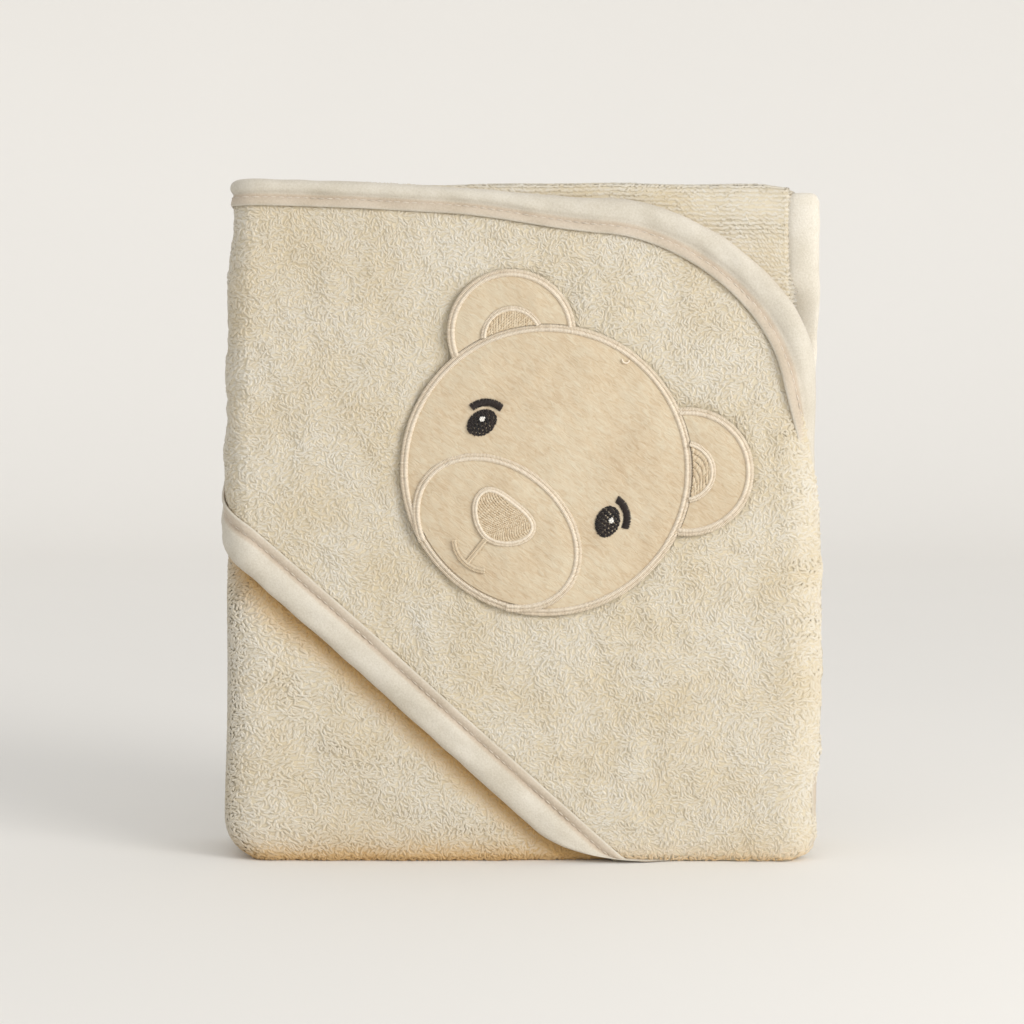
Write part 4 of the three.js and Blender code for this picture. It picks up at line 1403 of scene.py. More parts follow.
@dataclass
class Binding:
    """Velour tape folded over an edge: a soft roll outside and a flat band on the face, topstitched."""

    bundle: Bundle
    wardrobe: Wardrobe
    width: float = 0.024
    band_level: float = 8.9
    row_inset: float = 0.75
    stitch_pitch: float = 3.2
    stitch_half: float = 1.3
    stitch_radius: float = 0.26
    ripple: Drift = field(default_factory=lambda: Drift(101, 17.0, 8))

    def section(self, roll: np.ndarray, low: np.ndarray, high: np.ndarray, band_at: np.ndarray) -> Arrays:
        """Draws the tape's section at every station.

        Args:
            roll: the roll's width.
            low: the height of its underside.
            high: the height of its crown.
            band_at: the height of the band's underside.

        Returns:
            How far in from the edge, the height over the skin, and each point's crown value, which sets the
            tape's painted shade.
        """
        roll, low, high, band_at = (v[:, None] for v in (roll, low, high, band_at))
        angle = np.linspace(-math.pi * 0.5, math.pi * 0.76, 17)[None, :]
        half = roll / 2
        middle, tall = (low + high) / 2, (high - low) / 2
        power = 0.86
        n = half - half * squared(np.cos(angle), power)
        t = middle + tall * squared(np.sin(angle), power)
        # The roll's crown value is painted shade: lighter on its top, lower round its underside.
        crown = np.broadcast_to(0.6 + 0.2 * np.sin(angle), n.shape)
        inset = np.array([[0.02, 0.10, 0.26, 0.52, 0.80, 0.94, 1.0, 1.0]])
        rise = np.array([[-0.10, -0.12, 0.45, 0.62, 0.66, 0.45, 0.1, -0.35]])
        # The band's painted shade: darkest beside the roll along the stitched groove, lightest on its
        # raised edge.
        shade = np.array([[0.0, 0.0, 0.25, 0.36, 0.5, 0.78, 0.7, 0.4]])
        band_n = roll + 0.2 + inset * self.bundle.band
        band_t = band_at + rise
        under_n = np.concatenate([roll + 0.5, roll + 0.1, roll * 0.9], 1)
        under_t = np.concatenate([band_at - 0.4, band_at - 0.9, low + tall * 0.25], 1)
        n = np.concatenate([n, band_n, under_n], 1)
        t = np.concatenate([t, band_t, under_t], 1)
        # The tape's underside is painted in shade.
        painted_under_shade = np.full(under_n.shape, 0.2)
        crown = np.concatenate([crown, np.broadcast_to(shade, band_n.shape), painted_under_shade], 1)
        return n, t, crown

    def swept(self, at: np.ndarray, out: np.ndarray, roll: np.ndarray, low: np.ndarray, high: np.ndarray,
              band_at: np.ndarray, pressed: bool = False) -> Arrays:
        """Sweeps the tape along an edge.

        Args:
            at: the edge, as s and z.
            out: its outward directions.
            roll: the roll's width.
            low: the height of its underside.
            high: the height of its crown.
            band_at: the height of the band's underside.
            pressed: whether the ground turns the tape along it.

        Returns:
            Points in the plan, triangles and crown values, which set the painted shade.
        """
        n, t, crown = self.section(roll, low, high, band_at)
        along = distance_along(at)[:, None]
        swell = self.ripple(along, n * 2.2)
        t = t + 0.12 * swell * (t > low[:, None] + 0.5)
        n = n + 0.08 * self.ripple(along + 300, n * 0 + 5) * (n < roll[:, None] * 0.6)
        pucker = 0.5 + 0.5 * np.cos(2 * math.pi * along / self.stitch_pitch)
        groove = np.exp(-((n - roll[:, None] - 0.6) ** 2) / 1.6) * (t > band_at[:, None] - 0.3)
        t = t - 0.16 * pucker * groove
        s = at[:, None, 0] - n * out[:, None, 0]
        z = at[:, None, 1] - n * out[:, None, 1]
        if pressed:
            z = self.bundle.pressed(z, 12.5 - 10.1 * np.clip(n / 14.2, 0, 1))
        points, faces = closed_bar(self.bundle.wrap(s, z, t))
        crown = np.append(crown.ravel(), [0.5, 0.5])
        return points, faces, crown

    def threads(self, at: np.ndarray, out: np.ndarray, inset: np.ndarray, level: np.ndarray) -> Arrays:
        """Lays a row of stitches along an edge.

        Args:
            at: the edge, as s and z.
            out: its outward directions.
            inset: how far in from the edge the row runs.
            level: the thread's height over the skin.

        Returns:
            Points in the plan, triangles and tints.
        """
        line = np.column_stack([at - out * inset[:, None], level])
        spots, ahead = even_steps(line, self.stitch_pitch)
        stitch = Stitch.shape()
        side = np.stack([-ahead[:, 1], ahead[:, 0]], 1)
        side /= np.linalg.norm(side, axis=1, keepdims=True)
        local = stitch.points * np.array([self.stitch_half, self.stitch_radius, self.stitch_radius])
        along, across = local[None, :, 0], local[None, :, 1]
        s = spots[:, None, 0] + along * ahead[:, None, 0] + across * side[:, None, 0]
        z = spots[:, None, 1] + along * ahead[:, None, 1] + across * side[:, None, 1]
        t = spots[:, None, 2] + local[None, :, 2] - 0.22 * (along / self.stitch_half) ** 2
        faces = repeated(stitch.faces, len(spots), len(stitch.points))
        tint = np.repeat(np.random.default_rng(7).random(len(spots)), len(stitch.points))
        return self.bundle.wrap(s, z, t).reshape(-1, 3), faces, tint


@dataclass
class EdgeBinding(Binding):
    """The tape round the towel's edge: back, left side, front, round corner and down the right side."""

    start: float = -364.0
    bare_band: float = 4.5
    bare_crown: float = 5.6
    hooded_crown: float = 9.8
    sink: float = 2.0
    strip_length: float = 251.0
    strip_right: float = 110.6
    strip_back: float = -0.4
    strip_top: float = 253.9

    def hooded(self, s: np.ndarray) -> np.ndarray:
        """How much of the hood's cloth the tape holds as well: none at the back, all from the side on."""
        return smooth(s, -272, -250)

    def band_height(self, s: np.ndarray) -> np.ndarray:
        """How high over the skin the tape's band lies."""
        return self.bare_band + (self.band_level - self.bare_band) * self.hooded(s)

    def path(self, start: float, floor: float) -> tuple[np.ndarray, np.ndarray]:
        """Follows the edge.

        Args:
            start: where it begins, round the back.
            floor: how low it ends.

        Returns:
            The edge as s and z, and its outward directions.
        """
        bundle = self.bundle
        cx, cz = bundle.corner
        s = np.arange(start, cx, 2.5)
        at = [np.column_stack([s, bundle.top_at(s, np.zeros_like(s))])]
        out = [np.tile([0.0, 1.0], (len(s), 1))]
        angle = np.linspace(math.pi / 2, bundle.corner_end, 42)
        ray = np.column_stack([np.cos(angle), np.sin(angle)])
        at.append(np.array([cx, cz]) + ray * bundle.corner_radius)
        out.append(ray)
        top = at[-1][-1]
        length = (bundle.side_edge - top[0]) / math.sin(bundle.corner_end)
        along = np.array([math.sin(bundle.corner_end), -math.cos(bundle.corner_end)])
        leg = top + along * np.linspace(0, length, int(length / 2.5))[1:, None]
        at.append(leg)
        turn = bundle.corner_end * (1 - smooth(np.linspace(0, 1, len(leg)), 0.7, 1.25))
        out.append(np.column_stack([np.cos(turn), np.sin(turn)]))
        z = np.arange(leg[-1][1] - 2.5, floor, -2.5)
        at.append(np.column_stack([np.full_like(z, bundle.side_edge), z]))
        turn = turn[-1] * np.exp(-(leg[-1][1] - z) / 10)
        out.append(np.column_stack([np.cos(turn), np.sin(turn)]))
        return np.concatenate(at), np.concatenate(out)

    def build(self) -> None:
        """Makes the tape, the strip on the second edge and the stitches."""
        at, out = self.path(self.start, 0.6)
        s = at[:, 0]
        roll = self.bundle.roll_width(s)
        base = np.full(len(s), 0.35)
        sunk = self.bundle.right_rim(s, at[:, 1], 108, 158)
        high = self.bare_crown + (self.hooded_crown - self.bare_crown) * self.hooded(s) - self.sink * sunk
        points, faces, crown = self.swept(at, out, roll, base, high, self.band_height(s))
        strip, strip_faces = self.strip()
        faces = np.concatenate([faces, strip_faces + len(points)])
        # The upright strip takes the top crown value, painted light where it stands in the light.
        crown = np.append(crown, np.ones(len(strip)))
        points = np.concatenate([points, strip])
        tape = make_piece("edge_tape", self.bundle.settle(points), faces, {"crown": crown})
        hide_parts("edge_binding")
        self.wardrobe.dress(tape, Slot.TAPE)
        at_row, out_row = self.path(self.start + 2.5, 2.6)
        level = self.band_height(at_row[:, 0]) + 0.12
        inset = self.bundle.roll_width(at_row[:, 0]) + self.row_inset
        points, faces, tint = self.threads(at_row, out_row, inset, level)
        row = make_piece("edge_topstitch", self.bundle.settle(points), faces, {"tint": tint})
        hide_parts("edge_binding_stitch")
        self.wardrobe.dress(row, Slot.TOPSTITCH)

    def strip(self) -> tuple[np.ndarray, np.ndarray]:
        """Makes the tape on the edge that lies second, a soft upright roll with a round top.

        Returns:
            Points in the plan and triangles.
        """
        right, back, top = self.strip_right, self.strip_back, self.strip_top
        angle = np.linspace(0, 2 * math.pi, 25)[:-1]
        power = 0.62
        unit = np.column_stack([squared(np.cos(angle), power), squared(np.sin(angle), power)])
        round_top = top - np.array([4.2, 2.6, 1.4, 0.6, 0.15])
        levels = np.concatenate([[0.5, 1.2, 2.4, 4.0], np.arange(7, top - 4.5, 3.5), round_top])
        low_cap = np.sqrt(np.clip(1 - np.clip((4.2 - levels) / 4.0, 0, 0.96) ** 2, 0, 1))
        top_cap = np.sqrt(np.clip(1 - np.clip((levels - top + 4.4) / 4.4, 0, 0.985) ** 2, 0, 1))
        size = (low_cap * top_cap)[:, None]
        wave = 1 + 0.03 * self.ripple(levels, levels * 0)[:, None]
        open_share = smooth(levels, 196, 221)[:, None]
        left, front = 100.4 - 4.6 * open_share, -8.7 - 13.9 * open_share
        cx, cy = (left + right) / 2, (front + back) / 2
        rings = np.stack([
            cx + unit[None, :, 0] * (right - left) / 2 * size * wave,
            cy + unit[None, :, 1] * (back - front) / 2 * size,
            np.broadcast_to(levels[:, None], (len(levels), len(unit))),
        ], -1)
        return closed_bar(rings)


@dataclass
class HoodBinding(Binding):
    """The tape of the hood's diagonal opening, from behind, round the left side and down to the ground."""

    step: float = 1.7
    crown: float = 10.4
    base: float = 4.35
    tuck: float = 3.6

    def tucked(self, s: np.ndarray) -> np.ndarray:
        """How far the tape draws in where it nears the ground."""
        return self.tuck * smooth(s, 36, 52)

    def build(self) -> None:
        """Makes the tape and its stitches."""
        bundle = self.bundle
        length = math.hypot(1, bundle.opening_slope)
        out = np.array([-bundle.opening_slope, -1]) / length
        start = bundle.opening_foot - (bundle.top_edge - 24.5) / bundle.opening_slope
        s = np.arange(start, bundle.opening_foot + 33, self.step)
        at = np.column_stack([s, bundle.opening_at(s, 0.0)])
        outs = np.tile(out, (len(s), 1))
        roll = np.full(len(s), bundle.roll_full)
        tuck = self.tucked(s)
        low, high = self.base - tuck * 0.9, self.crown - tuck
        points, faces, crown = self.swept(at, outs, roll, low, high, self.band_level - tuck, pressed=True)
        tape = make_piece("hood_tape", bundle.settle(points), faces, {"crown": crown})
        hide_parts("hood_binding")
        self.wardrobe.dress(tape, Slot.TAPE)
        s = np.arange(start + 3, bundle.opening_foot + 13, self.step)
        at = np.column_stack([s, bundle.opening_at(s, 0.0)])
        inset = np.full(len(s), bundle.roll_full + self.row_inset)
        level = self.band_level + 0.05 - self.tucked(s)
        points, faces, tint = self.threads(at, np.tile(out, (len(s), 1)), inset, level)
        points[:, 2] = bundle.pressed(points[:, 2], 4.5)
        row = make_piece("hood_topstitch", bundle.settle(points), faces, {"tint": tint})
        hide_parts("hood_binding_stitch")
        self.wardrobe.dress(row, Slot.TOPSTITCH)


# ---------- embroidery ----------


@dataclass(frozen=True)
class Stitch:
    """One laid thread, modelled once: its corners and its triangles."""

    points: np.ndarray
    faces: np.ndarray

    _made = {}

    @classmethod
    def shape(cls) -> "Stitch":
        """Models the thread the first time and keeps it.

        Returns:
            A stitch a unit long each way from its middle, lying along x.
        """
        if "one" in cls._made:
            return cls._made["one"]
        bpy.ops.object.select_all(action="DESELECT")
        bpy.ops.mesh.primitive_uv_sphere_add(segments=6, ring_count=4, radius=1.0, location=(0, 0, 0))
        model = bpy.context.active_object
        bpy.ops.object.mode_set(mode="EDIT")
        bpy.ops.mesh.select_all(action="SELECT")
        bpy.ops.transform.rotate(value=math.pi / 2, orient_axis="Y", center_override=(0, 0, 0))
        bpy.ops.mesh.quads_convert_to_tris()
        bpy.ops.object.mode_set(mode="OBJECT")
        points = np.array([v.co for v in model.data.vertices], float)
        points[:, 0] = squared(points[:, 0], 0.9)
        faces = np.array([tuple(p.vertices) for p in model.data.polygons], np.int64)
        bpy.data.objects.remove(model)
        if volume(points, faces) < 0:
            faces = faces[:, ::-1]
        cls._made["one"] = cls(points, ordered(faces))
        return cls._made["one"]


@dataclass
class Face:
    """The bear's own plane: a runs to the right of the face, b up it."""

    bundle: Bundle
    x: float = 9.4
    z: float = 147.4
    tilt: float = math.radians(38.2)
    head: float = 54.4
    border: float = 3.1
    ear_angle: float = math.radians(37.5)
    ear_inset: float = 2.0
    ear: float = 24.0

    def ear_centre(self, side: int, inset: float = 0.0) -> np.ndarray:
        """Where an ear's middle lies.

        Args:
            side: -1 for the left ear, 1 for the right one.
            inset: how much nearer the head.

        Returns:
            a and b.
        """
        reach = self.head - self.ear_inset - inset
        return np.array([side * math.cos(self.ear_angle), math.sin(self.ear_angle)]) * reach

    def turned(self, a: np.ndarray, b: np.ndarray) -> tuple[np.ndarray, np.ndarray]:
        """Turns a place on the face into s and z."""
        s = self.x + a * math.cos(self.tilt) + b * math.sin(self.tilt)
        return s, self.z - a * math.sin(self.tilt) + b * math.cos(self.tilt)

    def point(self, a: np.ndarray, b: np.ndarray, t: np.ndarray) -> np.ndarray:
        """Places points of the face.

        Args:
            a: to the right of the face.
            b: up the face.
            t: the height over the skin.

        Returns:
            The settled points.
        """
        return self.bundle.settle(self.bundle.wrap(*self.turned(a, b), t))

    def distance(self, s: np.ndarray, z: np.ndarray) -> np.ndarray:
        """How far places on the hood are from the bear's outline, below zero inside it.

        Args:
            s: how far along the skin.
            z: the height.

        Returns:
            The distances.
        """
        away = np.hypot(s - self.x, z - self.z) - self.head
        for side in (-1, 1):
            ear_s, ear_z = self.turned(*self.ear_centre(side))
            away = np.minimum(away, np.hypot(s - ear_s, z - ear_z) - self.ear)
        return away


def circle(radius: float, a: float = 0.0, b: float = 0.0, start: float = 0.0, end: float = 2 * math.pi,
           count: int = 97) -> np.ndarray:
    """Points along a circle or an arc of it.

    Args:
        radius: the radius.
        a: the middle, to the right.
        b: the middle, up.
        start: where it starts.
        end: where it ends.
        count: how many points.

    Returns:
        The points.
    """
    angle = np.linspace(start, end, count)
    return np.column_stack([a + radius * np.cos(angle), b + radius * np.sin(angle)])


def oval(half_width: float, half_height: float, a: float, b: float, lean: float = 0.0,
         count: int = 97) -> np.ndarray:
    """Points round an oval.

    Args:
        half_width: half its width.
        half_height: half its height.
        a: the middle, to the right.
        b: the middle, up.
        lean: how far it is turned.
        count: how many points.

    Returns:
        The points, the first one repeated.
    """
    angle = np.linspace(0, 2 * math.pi, count)
    x, y = half_width * np.cos(angle), half_height * np.sin(angle)
    cos, sin = math.cos(lean), math.sin(lean)
    return np.column_stack([a + x * cos - y * sin, b + x * sin + y * cos])


def edge_distance(points: np.ndarray, outline: np.ndarray) -> np.ndarray:
    """How far points are from an outline.

    Args:
        points: the points.
        outline: the outline, its last point joined to its first.

    Returns:
        The distances.
    """
    start, end = outline, np.roll(outline, -1, 0)
    best = np.full(len(points), 1e9)
    for p, q in zip(start, end, strict=True):
        way = q - p
        size = float(way @ way)
        if size < 1e-12:
            continue
        share = np.clip(((points - p) @ way) / size, 0, 1)[:, None]
        best = np.minimum(best, np.linalg.norm(points - p - share * way, axis=1))
    return best


def inside(points: np.ndarray, outline: np.ndarray) -> np.ndarray:
    """Tells which points lie inside an outline.

    Args:
        points: the points.
        outline: the outline.

    Returns:
        True where a point is inside.
    """
    odd = np.zeros(len(points), bool)
    for (x0, y0), (x1, y1) in zip(outline, np.roll(outline, -1, 0), strict=True):
        if y0 == y1:
            continue
        crosses = (y0 > points[:, 1]) != (y1 > points[:, 1])
        at = x0 + (points[:, 1] - y0) / (y1 - y0) * (x1 - x0)
        odd ^= crosses & (points[:, 0] < at)
    return odd


@dataclass
class Patch:
    """A piece of short-piled cloth cut to an outline, a little puffed between its sewn edges."""

    name: str
    node: str
    outline: np.ndarray
    level: float
    thickness: float
    puff: float
    slot: Slot
    spacing: float = 1.3
    seed: int = 3

    def build(self, face: Face, wardrobe: Wardrobe, rests_on: str) -> bpy.types.Object:
        """Makes the patch.

        Args:
            face: the bear's plane.
            wardrobe: the finishes.
            rests_on: the piece that it is sewn to; not used.

        Returns:
            The patch.
        """
        line = even_steps(np.vstack([self.outline, self.outline[:1]]), self.spacing)[0][:-1]
        low, high = line.min(0), line.max(0)
        rng = np.random.default_rng(self.seed)
        across = np.arange(low[0], high[0], self.spacing)
        a, b = np.meshgrid(across, np.arange(low[1], high[1], self.spacing * 0.87), indexing="ij")
        a = a + (np.arange(b.shape[1]) % 2)[None, :] * self.spacing / 2
        spots = np.column_stack([a.ravel(), b.ravel()])
        spots += rng.normal(0, 0.08 * self.spacing, spots.shape)
        near = edge_distance(spots, line)
        spots = spots[inside(spots, line) & (near > self.spacing * 0.6)]
        count = len(line)
        corners = [Vector(p) for p in np.vstack([line, spots])]
        rim = [(i, (i + 1) % count) for i in range(count)]
        found, _, cells, *_ = delaunay_2d_cdt(corners, rim, [], 1, 1e-5)
        flat = np.array([tuple(v) for v in found])
        top = np.array([tuple(c) for c in cells], np.int64)
        reach = edge_distance(flat, line)
        nap = Drift(self.seed + 60, 5.0, 12)(flat[:, 0] * 0.6, flat[:, 1])
        soft = Drift(self.seed + 61, 22.0, 8)(flat[:, 0], flat[:, 1])
        rise = self.puff * (1 - np.exp(-reach / 4.0)) + (0.07 * nap + 0.16 * soft) * smooth(reach, 0.5, 5)
        crown = face.point(flat[:, 0], flat[:, 1], self.level + self.thickness + rise)
        base = face.point(flat[:, 0], flat[:, 1], np.full(len(flat), self.level))
        number = len(flat)
        first = np.array([int(np.argmin(np.linalg.norm(flat - p, axis=1))) for p in line])
        after = np.roll(first, -1)
        sides = np.concatenate([
            np.stack([first, after, after + number], 1),
            np.stack([first, after + number, first + number], 1),
        ])
        a0, b0, c0 = (flat[top[:, i]] for i in range(3))
        ahead = (b0 - a0)[:, 0] * (c0 - a0)[:, 1] - (b0 - a0)[:, 1] * (c0 - a0)[:, 0] > 0
        top[~ahead] = top[~ahead][:, ::-1]
        ahead_a, ahead_b = np.roll(line, -1, 0).T
        turn = float(((line[:, 0] - ahead_a) * (line[:, 1] + ahead_b)).sum())
        sides = sides[:, ::-1] if turn > 0 else sides
        faces = np.concatenate([top, top[:, ::-1] + number, sides])
        piece = make_piece(self.name, np.concatenate([crown, base]), faces, angle=50.0)
        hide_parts(self.node)
        wardrobe.dress(piece, self.slot)
        return piece


@dataclass
class Thread:
    """Stitches laid side by side across a line, or in rows across a shape."""

    pitch: float = 0.52
    half_width: float = 0.31
    wobble: float = 0.05
    seed: int = 9

    def across(self, line: np.ndarray, width: float, level: float, rise: float, shift: float = 0.0,
               tone: float = 0.75) -> Arrays:
        """Satin stitch along a line.

        Args:
            line: the middle of the border.
            width: its width.
            level: the height of its underside.
            rise: how high the threads arch.
            shift: how far to the right of the line they lie.
            tone: how light they are.

        Returns:
            Each stitch's middle, direction, half length, height, rise and tint.
        """
        rng = np.random.default_rng(self.seed)
        spots, ahead = even_steps(line, self.pitch)
        spots = spots + np.column_stack([ahead[:, 1], -ahead[:, 0]]) * shift
        count = len(spots)
        heading = np.arctan2(ahead[:, 1], ahead[:, 0]) + math.pi / 2 + 0.16 + rng.normal(0, 0.05, count)
        size = width / 2 * rng.uniform(0.94, 1.06, count)
        tint = np.clip(tone + rng.normal(0, 0.1, count), 0, 1)
        return spots, heading, size, np.full(count, level), rise * rng.uniform(0.93, 1.05, count), tint

    def border(self, line: np.ndarray, width: float, level: float, rise: float) -> list[Arrays]:
        """A satin border: a raised cord on the inside and a lower flank outside it. The cord's lighter tone
        and the flank's darker one are partly the threads' own look and partly painted light and shade of
        the ridge: its lit top and its shaded outer side.

        Args:
            line: the middle of the border.
            width: its width.
            level: the height of its underside.
            rise: how high the cord stands.

        Returns:
            The stitches of both.
        """
        # The cord's higher tone and the flank's lower one are partly the threads' own look and partly
        # painted light and shade of the ridge.
        cord = self.across(line, width * 0.66, level, rise, -width * 0.18, 0.86)
        flank = self.across(line, width * 0.62, level, rise * 0.62, width * 0.24, 0.5)
        return [flank, cord]

    def loose(self, line: np.ndarray, level: float) -> Arrays:
        """A free end of thread that lies along a line.

        Args:
            line: the way it lies.
            level: its height.

        Returns:
            Each piece's middle, direction, half length, height, rise and tint.
        """
        spots, ahead = even_steps(line, 0.3)
        count = len(spots)
        heading = np.arctan2(ahead[:, 1], ahead[:, 0])
        half_length, rise, tint = 0.45, 0.7, 0.9
        return (spots, heading, *(np.full(count, value) for value in (half_length, level, rise, tint)))

    def filling(self, outline: np.ndarray, heading: float, longest: float, level: float,
                rise: float) -> Arrays:
        """Rows of stitches that fill a shape.

        Args:
            outline: the shape.
            heading: the way the threads run.
            longest: the longest stitch.
            level: the height of their underside.
            rise: how high they arch.

        Returns:
            Each stitch's middle, direction, half length, height, rise and tint.
        """
        rng = np.random.default_rng(self.seed)
        cos, sin = math.cos(heading), math.sin(heading)
        turned = np.column_stack([outline @ [cos, sin], outline @ [-sin, cos]])
        rows = np.arange(turned[:, 1].min() + self.pitch / 2, turned[:, 1].max(), self.pitch)
        spots, sizes = [], []
        for number, row in enumerate(rows):
            ends = []
            for (x0, y0), (x1, y1) in zip(turned, np.roll(turned, -1, 0), strict=True):
                if (y0 > row) != (y1 > row):
                    ends.append(x0 + (row - y0) / (y1 - y0) * (x1 - x0))
            ends.sort()
            for start, end in zip(ends[::2], ends[1::2], strict=False):
                cuts = np.arange(start - longest * (0.3 + 0.37 * (number % 3)), end, longest)
                cuts = np.unique(np.clip(np.append(cuts, end), start, end))
                for p, q in zip(cuts[:-1], cuts[1:], strict=True):
                    if q - p > 0.35:
                        spots.append(((p + q) / 2, row))
                        sizes.append((q - p) / 2 + 0.12)
        local = np.array(spots)
        places = np.column_stack([local @ [cos, -sin], local @ [sin, cos]])
        count = len(places)
        return (places, np.full(count, heading) + rng.normal(0, self.wobble, count), np.array(sizes),
                np.full(count, level), rise * rng.uniform(0.85, 1.1, count), rng.random(count))

    def build(self, name: str, node: str, slot: Slot, face: Face, wardrobe: Wardrobe,
              *laid: Arrays) -> bpy.types.Object:
        """Makes the stitches as one piece.

        Args:
            name: the piece's name.
            node: the solid that it stands for.
            slot: its finish.
            face: the bear's plane.
            wardrobe: the finishes.
            laid: what across and filling gave.

        Returns:
            The piece.
        """
        spots, heading, size, level, rise, tint = (np.concatenate(part) for part in zip(*laid, strict=True))
        stitch = Stitch.shape()
        x, y, h = stitch.points.T
        along, across = size[:, None] * x, self.half_width * y
        a = spots[:, :1] + along * np.cos(heading)[:, None] - across * np.sin(heading)[:, None]
        b = spots[:, 1:] + along * np.sin(heading)[:, None] + across * np.cos(heading)[:, None]
        arch = np.sqrt(np.clip(1 - x**2, 0, 1))
        t = level[:, None] + rise[:, None] * (0.5 * arch + 0.5 * h)
        points = face.point(a, b, t).reshape(-1, 3)
        faces = repeated(stitch.faces, len(spots), len(stitch.points))
        piece = make_piece(name, points, faces, {"tint": np.repeat(tint, len(stitch.points))})
        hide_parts(node)
        wardrobe.dress(piece, slot)
        return piece


@dataclass
class Bear:
    """The bear's face: velour patches, satin borders, filled eyes, nose and ears."""

    face: Face
    wardrobe: Wardrobe
    clear: float = 0.3
    first: float = 8.9
    second: float = 10.2
    third: float = 11.4
    muzzle: tuple[float, float] = (34.5, 26.2)
    muzzle_overlap: float = 1.4
    nose_x: float = -1.9
    nose_half: float = 12.9
    nose_rise: float = 13.5
    nose_drop: float = 4.9
    nose_border: float = 1.7
    inner_ear: float = 11.8
    inner_inset: float = 1.6
    inner_border: float = 2.2
    philtrum: float = 11.0
    mouth: float = 12.0
    eye: tuple[float, float] = (29.7, -1.0)
    eye_size: tuple[float, float] = (4.6, 6.0)
    eye_lean: float = math.radians(17)
    patch_overlap: float = 0.6
    brow_radius: float = 8.5
    brow_shift: tuple[float, float] = (1.8, 0.3)
    brow_width: float = 3.3
    brow_from: float = math.radians(87)
    brow_to: float = math.radians(167)
    mouth_from: float = math.radians(222)
    mouth_to: float = math.radians(305)
    mouth_width: float = 2.1
    shine_shift: tuple[float, float] = (0.8, 1.2)

    def __post_init__(self) -> None:
        """Works out where the muzzle and nose lie."""
        self.muzzle_b = self.muzzle[1] - self.face.head - self.muzzle_overlap
        self.nose_top = self.muzzle_b + self.nose_rise
        self.nose_tip = self.muzzle_b - self.nose_drop

    def build(self) -> None:
        """Makes every piece of the face."""
        self.backing()
        self.head()
        for side, name in ((-1, "left"), (1, "right")):
            self.ear(side, name)
            self.eye_pieces(side, name)
        self.muzzle_pieces()
        self.nose_pieces()
        LOG.info("bear face with its patches, borders and fills")

    def sew(self, thread: Thread, name: str, node: str, slot: Slot, *laid: Arrays) -> None:
        """Sews stitches on the bear's plane.

        Args:
            thread: the thread.
            name: the piece's name.
            node: the solid that it stands for.
            slot: its finish.
            laid: the stitches.
        """
        thread.build(name, node, slot, self.face, self.wardrobe, *laid)

    def backing(self) -> None:
        """Makes the interlining between the hood and the towel."""
        reach = abs(self.face.ear_centre(1)[0]) + self.face.ear
        patch = Patch("interlining", "embroidery_backing", oval(reach, self.face.head, 0, 0)[:-1],
                      4.35, 0.4, 0.0, Slot.BACKING, spacing=4.0)
        patch.build(self.face, self.wardrobe, "towel_cloth")

    def head(self) -> None:
        """Makes the head's patch and its border."""
        outline = circle(self.face.head - self.face.border + self.patch_overlap)[:-1]
        patch = Patch("head_velour", "head_patch", outline, self.first, 0.55, 0.75, Slot.VELOUR)
        patch.build(self.face, self.wardrobe, "hood_cloth")
        line = circle(self.face.head - self.face.border / 2, count=300)
        thread = Thread(seed=11)
        end = thread.loose(circle(1.3, -2.2, 50.4, 3.9, 6.5, 20), self.first + 1.0)
        self.sew(thread, "head_satin", "head_border", Slot.SATIN,
                 *thread.border(line, self.face.border, self.first, 1.6), end)

    def outside_head(self, line: np.ndarray, margin: float = 0.0) -> np.ndarray:
        """Keeps the stretch of a line that lies outside the head.

        Args:
            line: the line, closed.
            margin: how far outside it has to be.

        Returns:
            The points kept, in order.
        """
        away = np.hypot(line[:, 0], line[:, 1]) > self.face.head + margin
        start = int(np.argmax(~away))
        rolled, kept = np.roll(line[:-1], -start, 0), np.roll(away[:-1], -start)
        return rolled[kept]

    def ear(self, side: int, name: str) -> None:
        """Makes one ear.

        Args:
            side: -1 for the left, 1 for the right.
            name: the side's name.
        """
        ea, eb = self.face.ear_centre(side)
        ia, ib = self.face.ear_centre(side, self.inner_inset)
        rim = self.face.ear - self.face.border + self.patch_overlap
        outline = self._crescent(self.outside_head(circle(rim, ea, eb, count=241), -0.4))
        Patch(f"{name}_ear_velour", f"{name}_ear_patch", outline, self.first, 0.5, 0.45, Slot.VELOUR,
              seed=20 + side).build(self.face, self.wardrobe, "hood_cloth")
        thread = Thread(seed=30 + side)
        line = self.outside_head(circle(self.face.ear - self.face.border / 2, ea, eb, count=361), -0.3)
        self.sew(thread, f"{name}_ear_satin", f"{name}_ear_border", Slot.SATIN,
                 *thread.border(line, self.face.border, self.first, 1.5))
        inner = self._crescent(self.outside_head(circle(self.inner_ear - 1.4, ia, ib, count=181), -0.3))
        fill = Thread(pitch=0.46, half_width=0.38, wobble=0.12, seed=40 + side)
        self.sew(fill, f"{name}_inner_ear_fill", f"{name}_inner_ear", Slot.TAUPE,
                 fill.filling(inner, math.radians(100), 2.2, self.second - 0.3, 0.55))
        line = self.outside_head(circle(self.inner_ear - self.inner_border / 2, ia, ib, count=241), -0.2)
        self.sew(thread, f"{name}_inner_ear_satin", f"{name}_inner_ear_border", Slot.SATIN,
                 *thread.border(line, self.inner_border, self.second - 0.4, 1.1))

    def _crescent(self, arc: np.ndarray) -> np.ndarray:
        """Closes an arc along the head's edge.

        Args:
            arc: the points outside the head.

        Returns:
            The closed outline.
        """
        first, last = (math.atan2(p[1], p[0]) for p in (arc[-1], arc[0]))
        radius = float(np.hypot(*arc[0]))
        edge = circle(radius, start=first, end=last, count=25)
        return np.vstack([arc, edge[1:-1]])

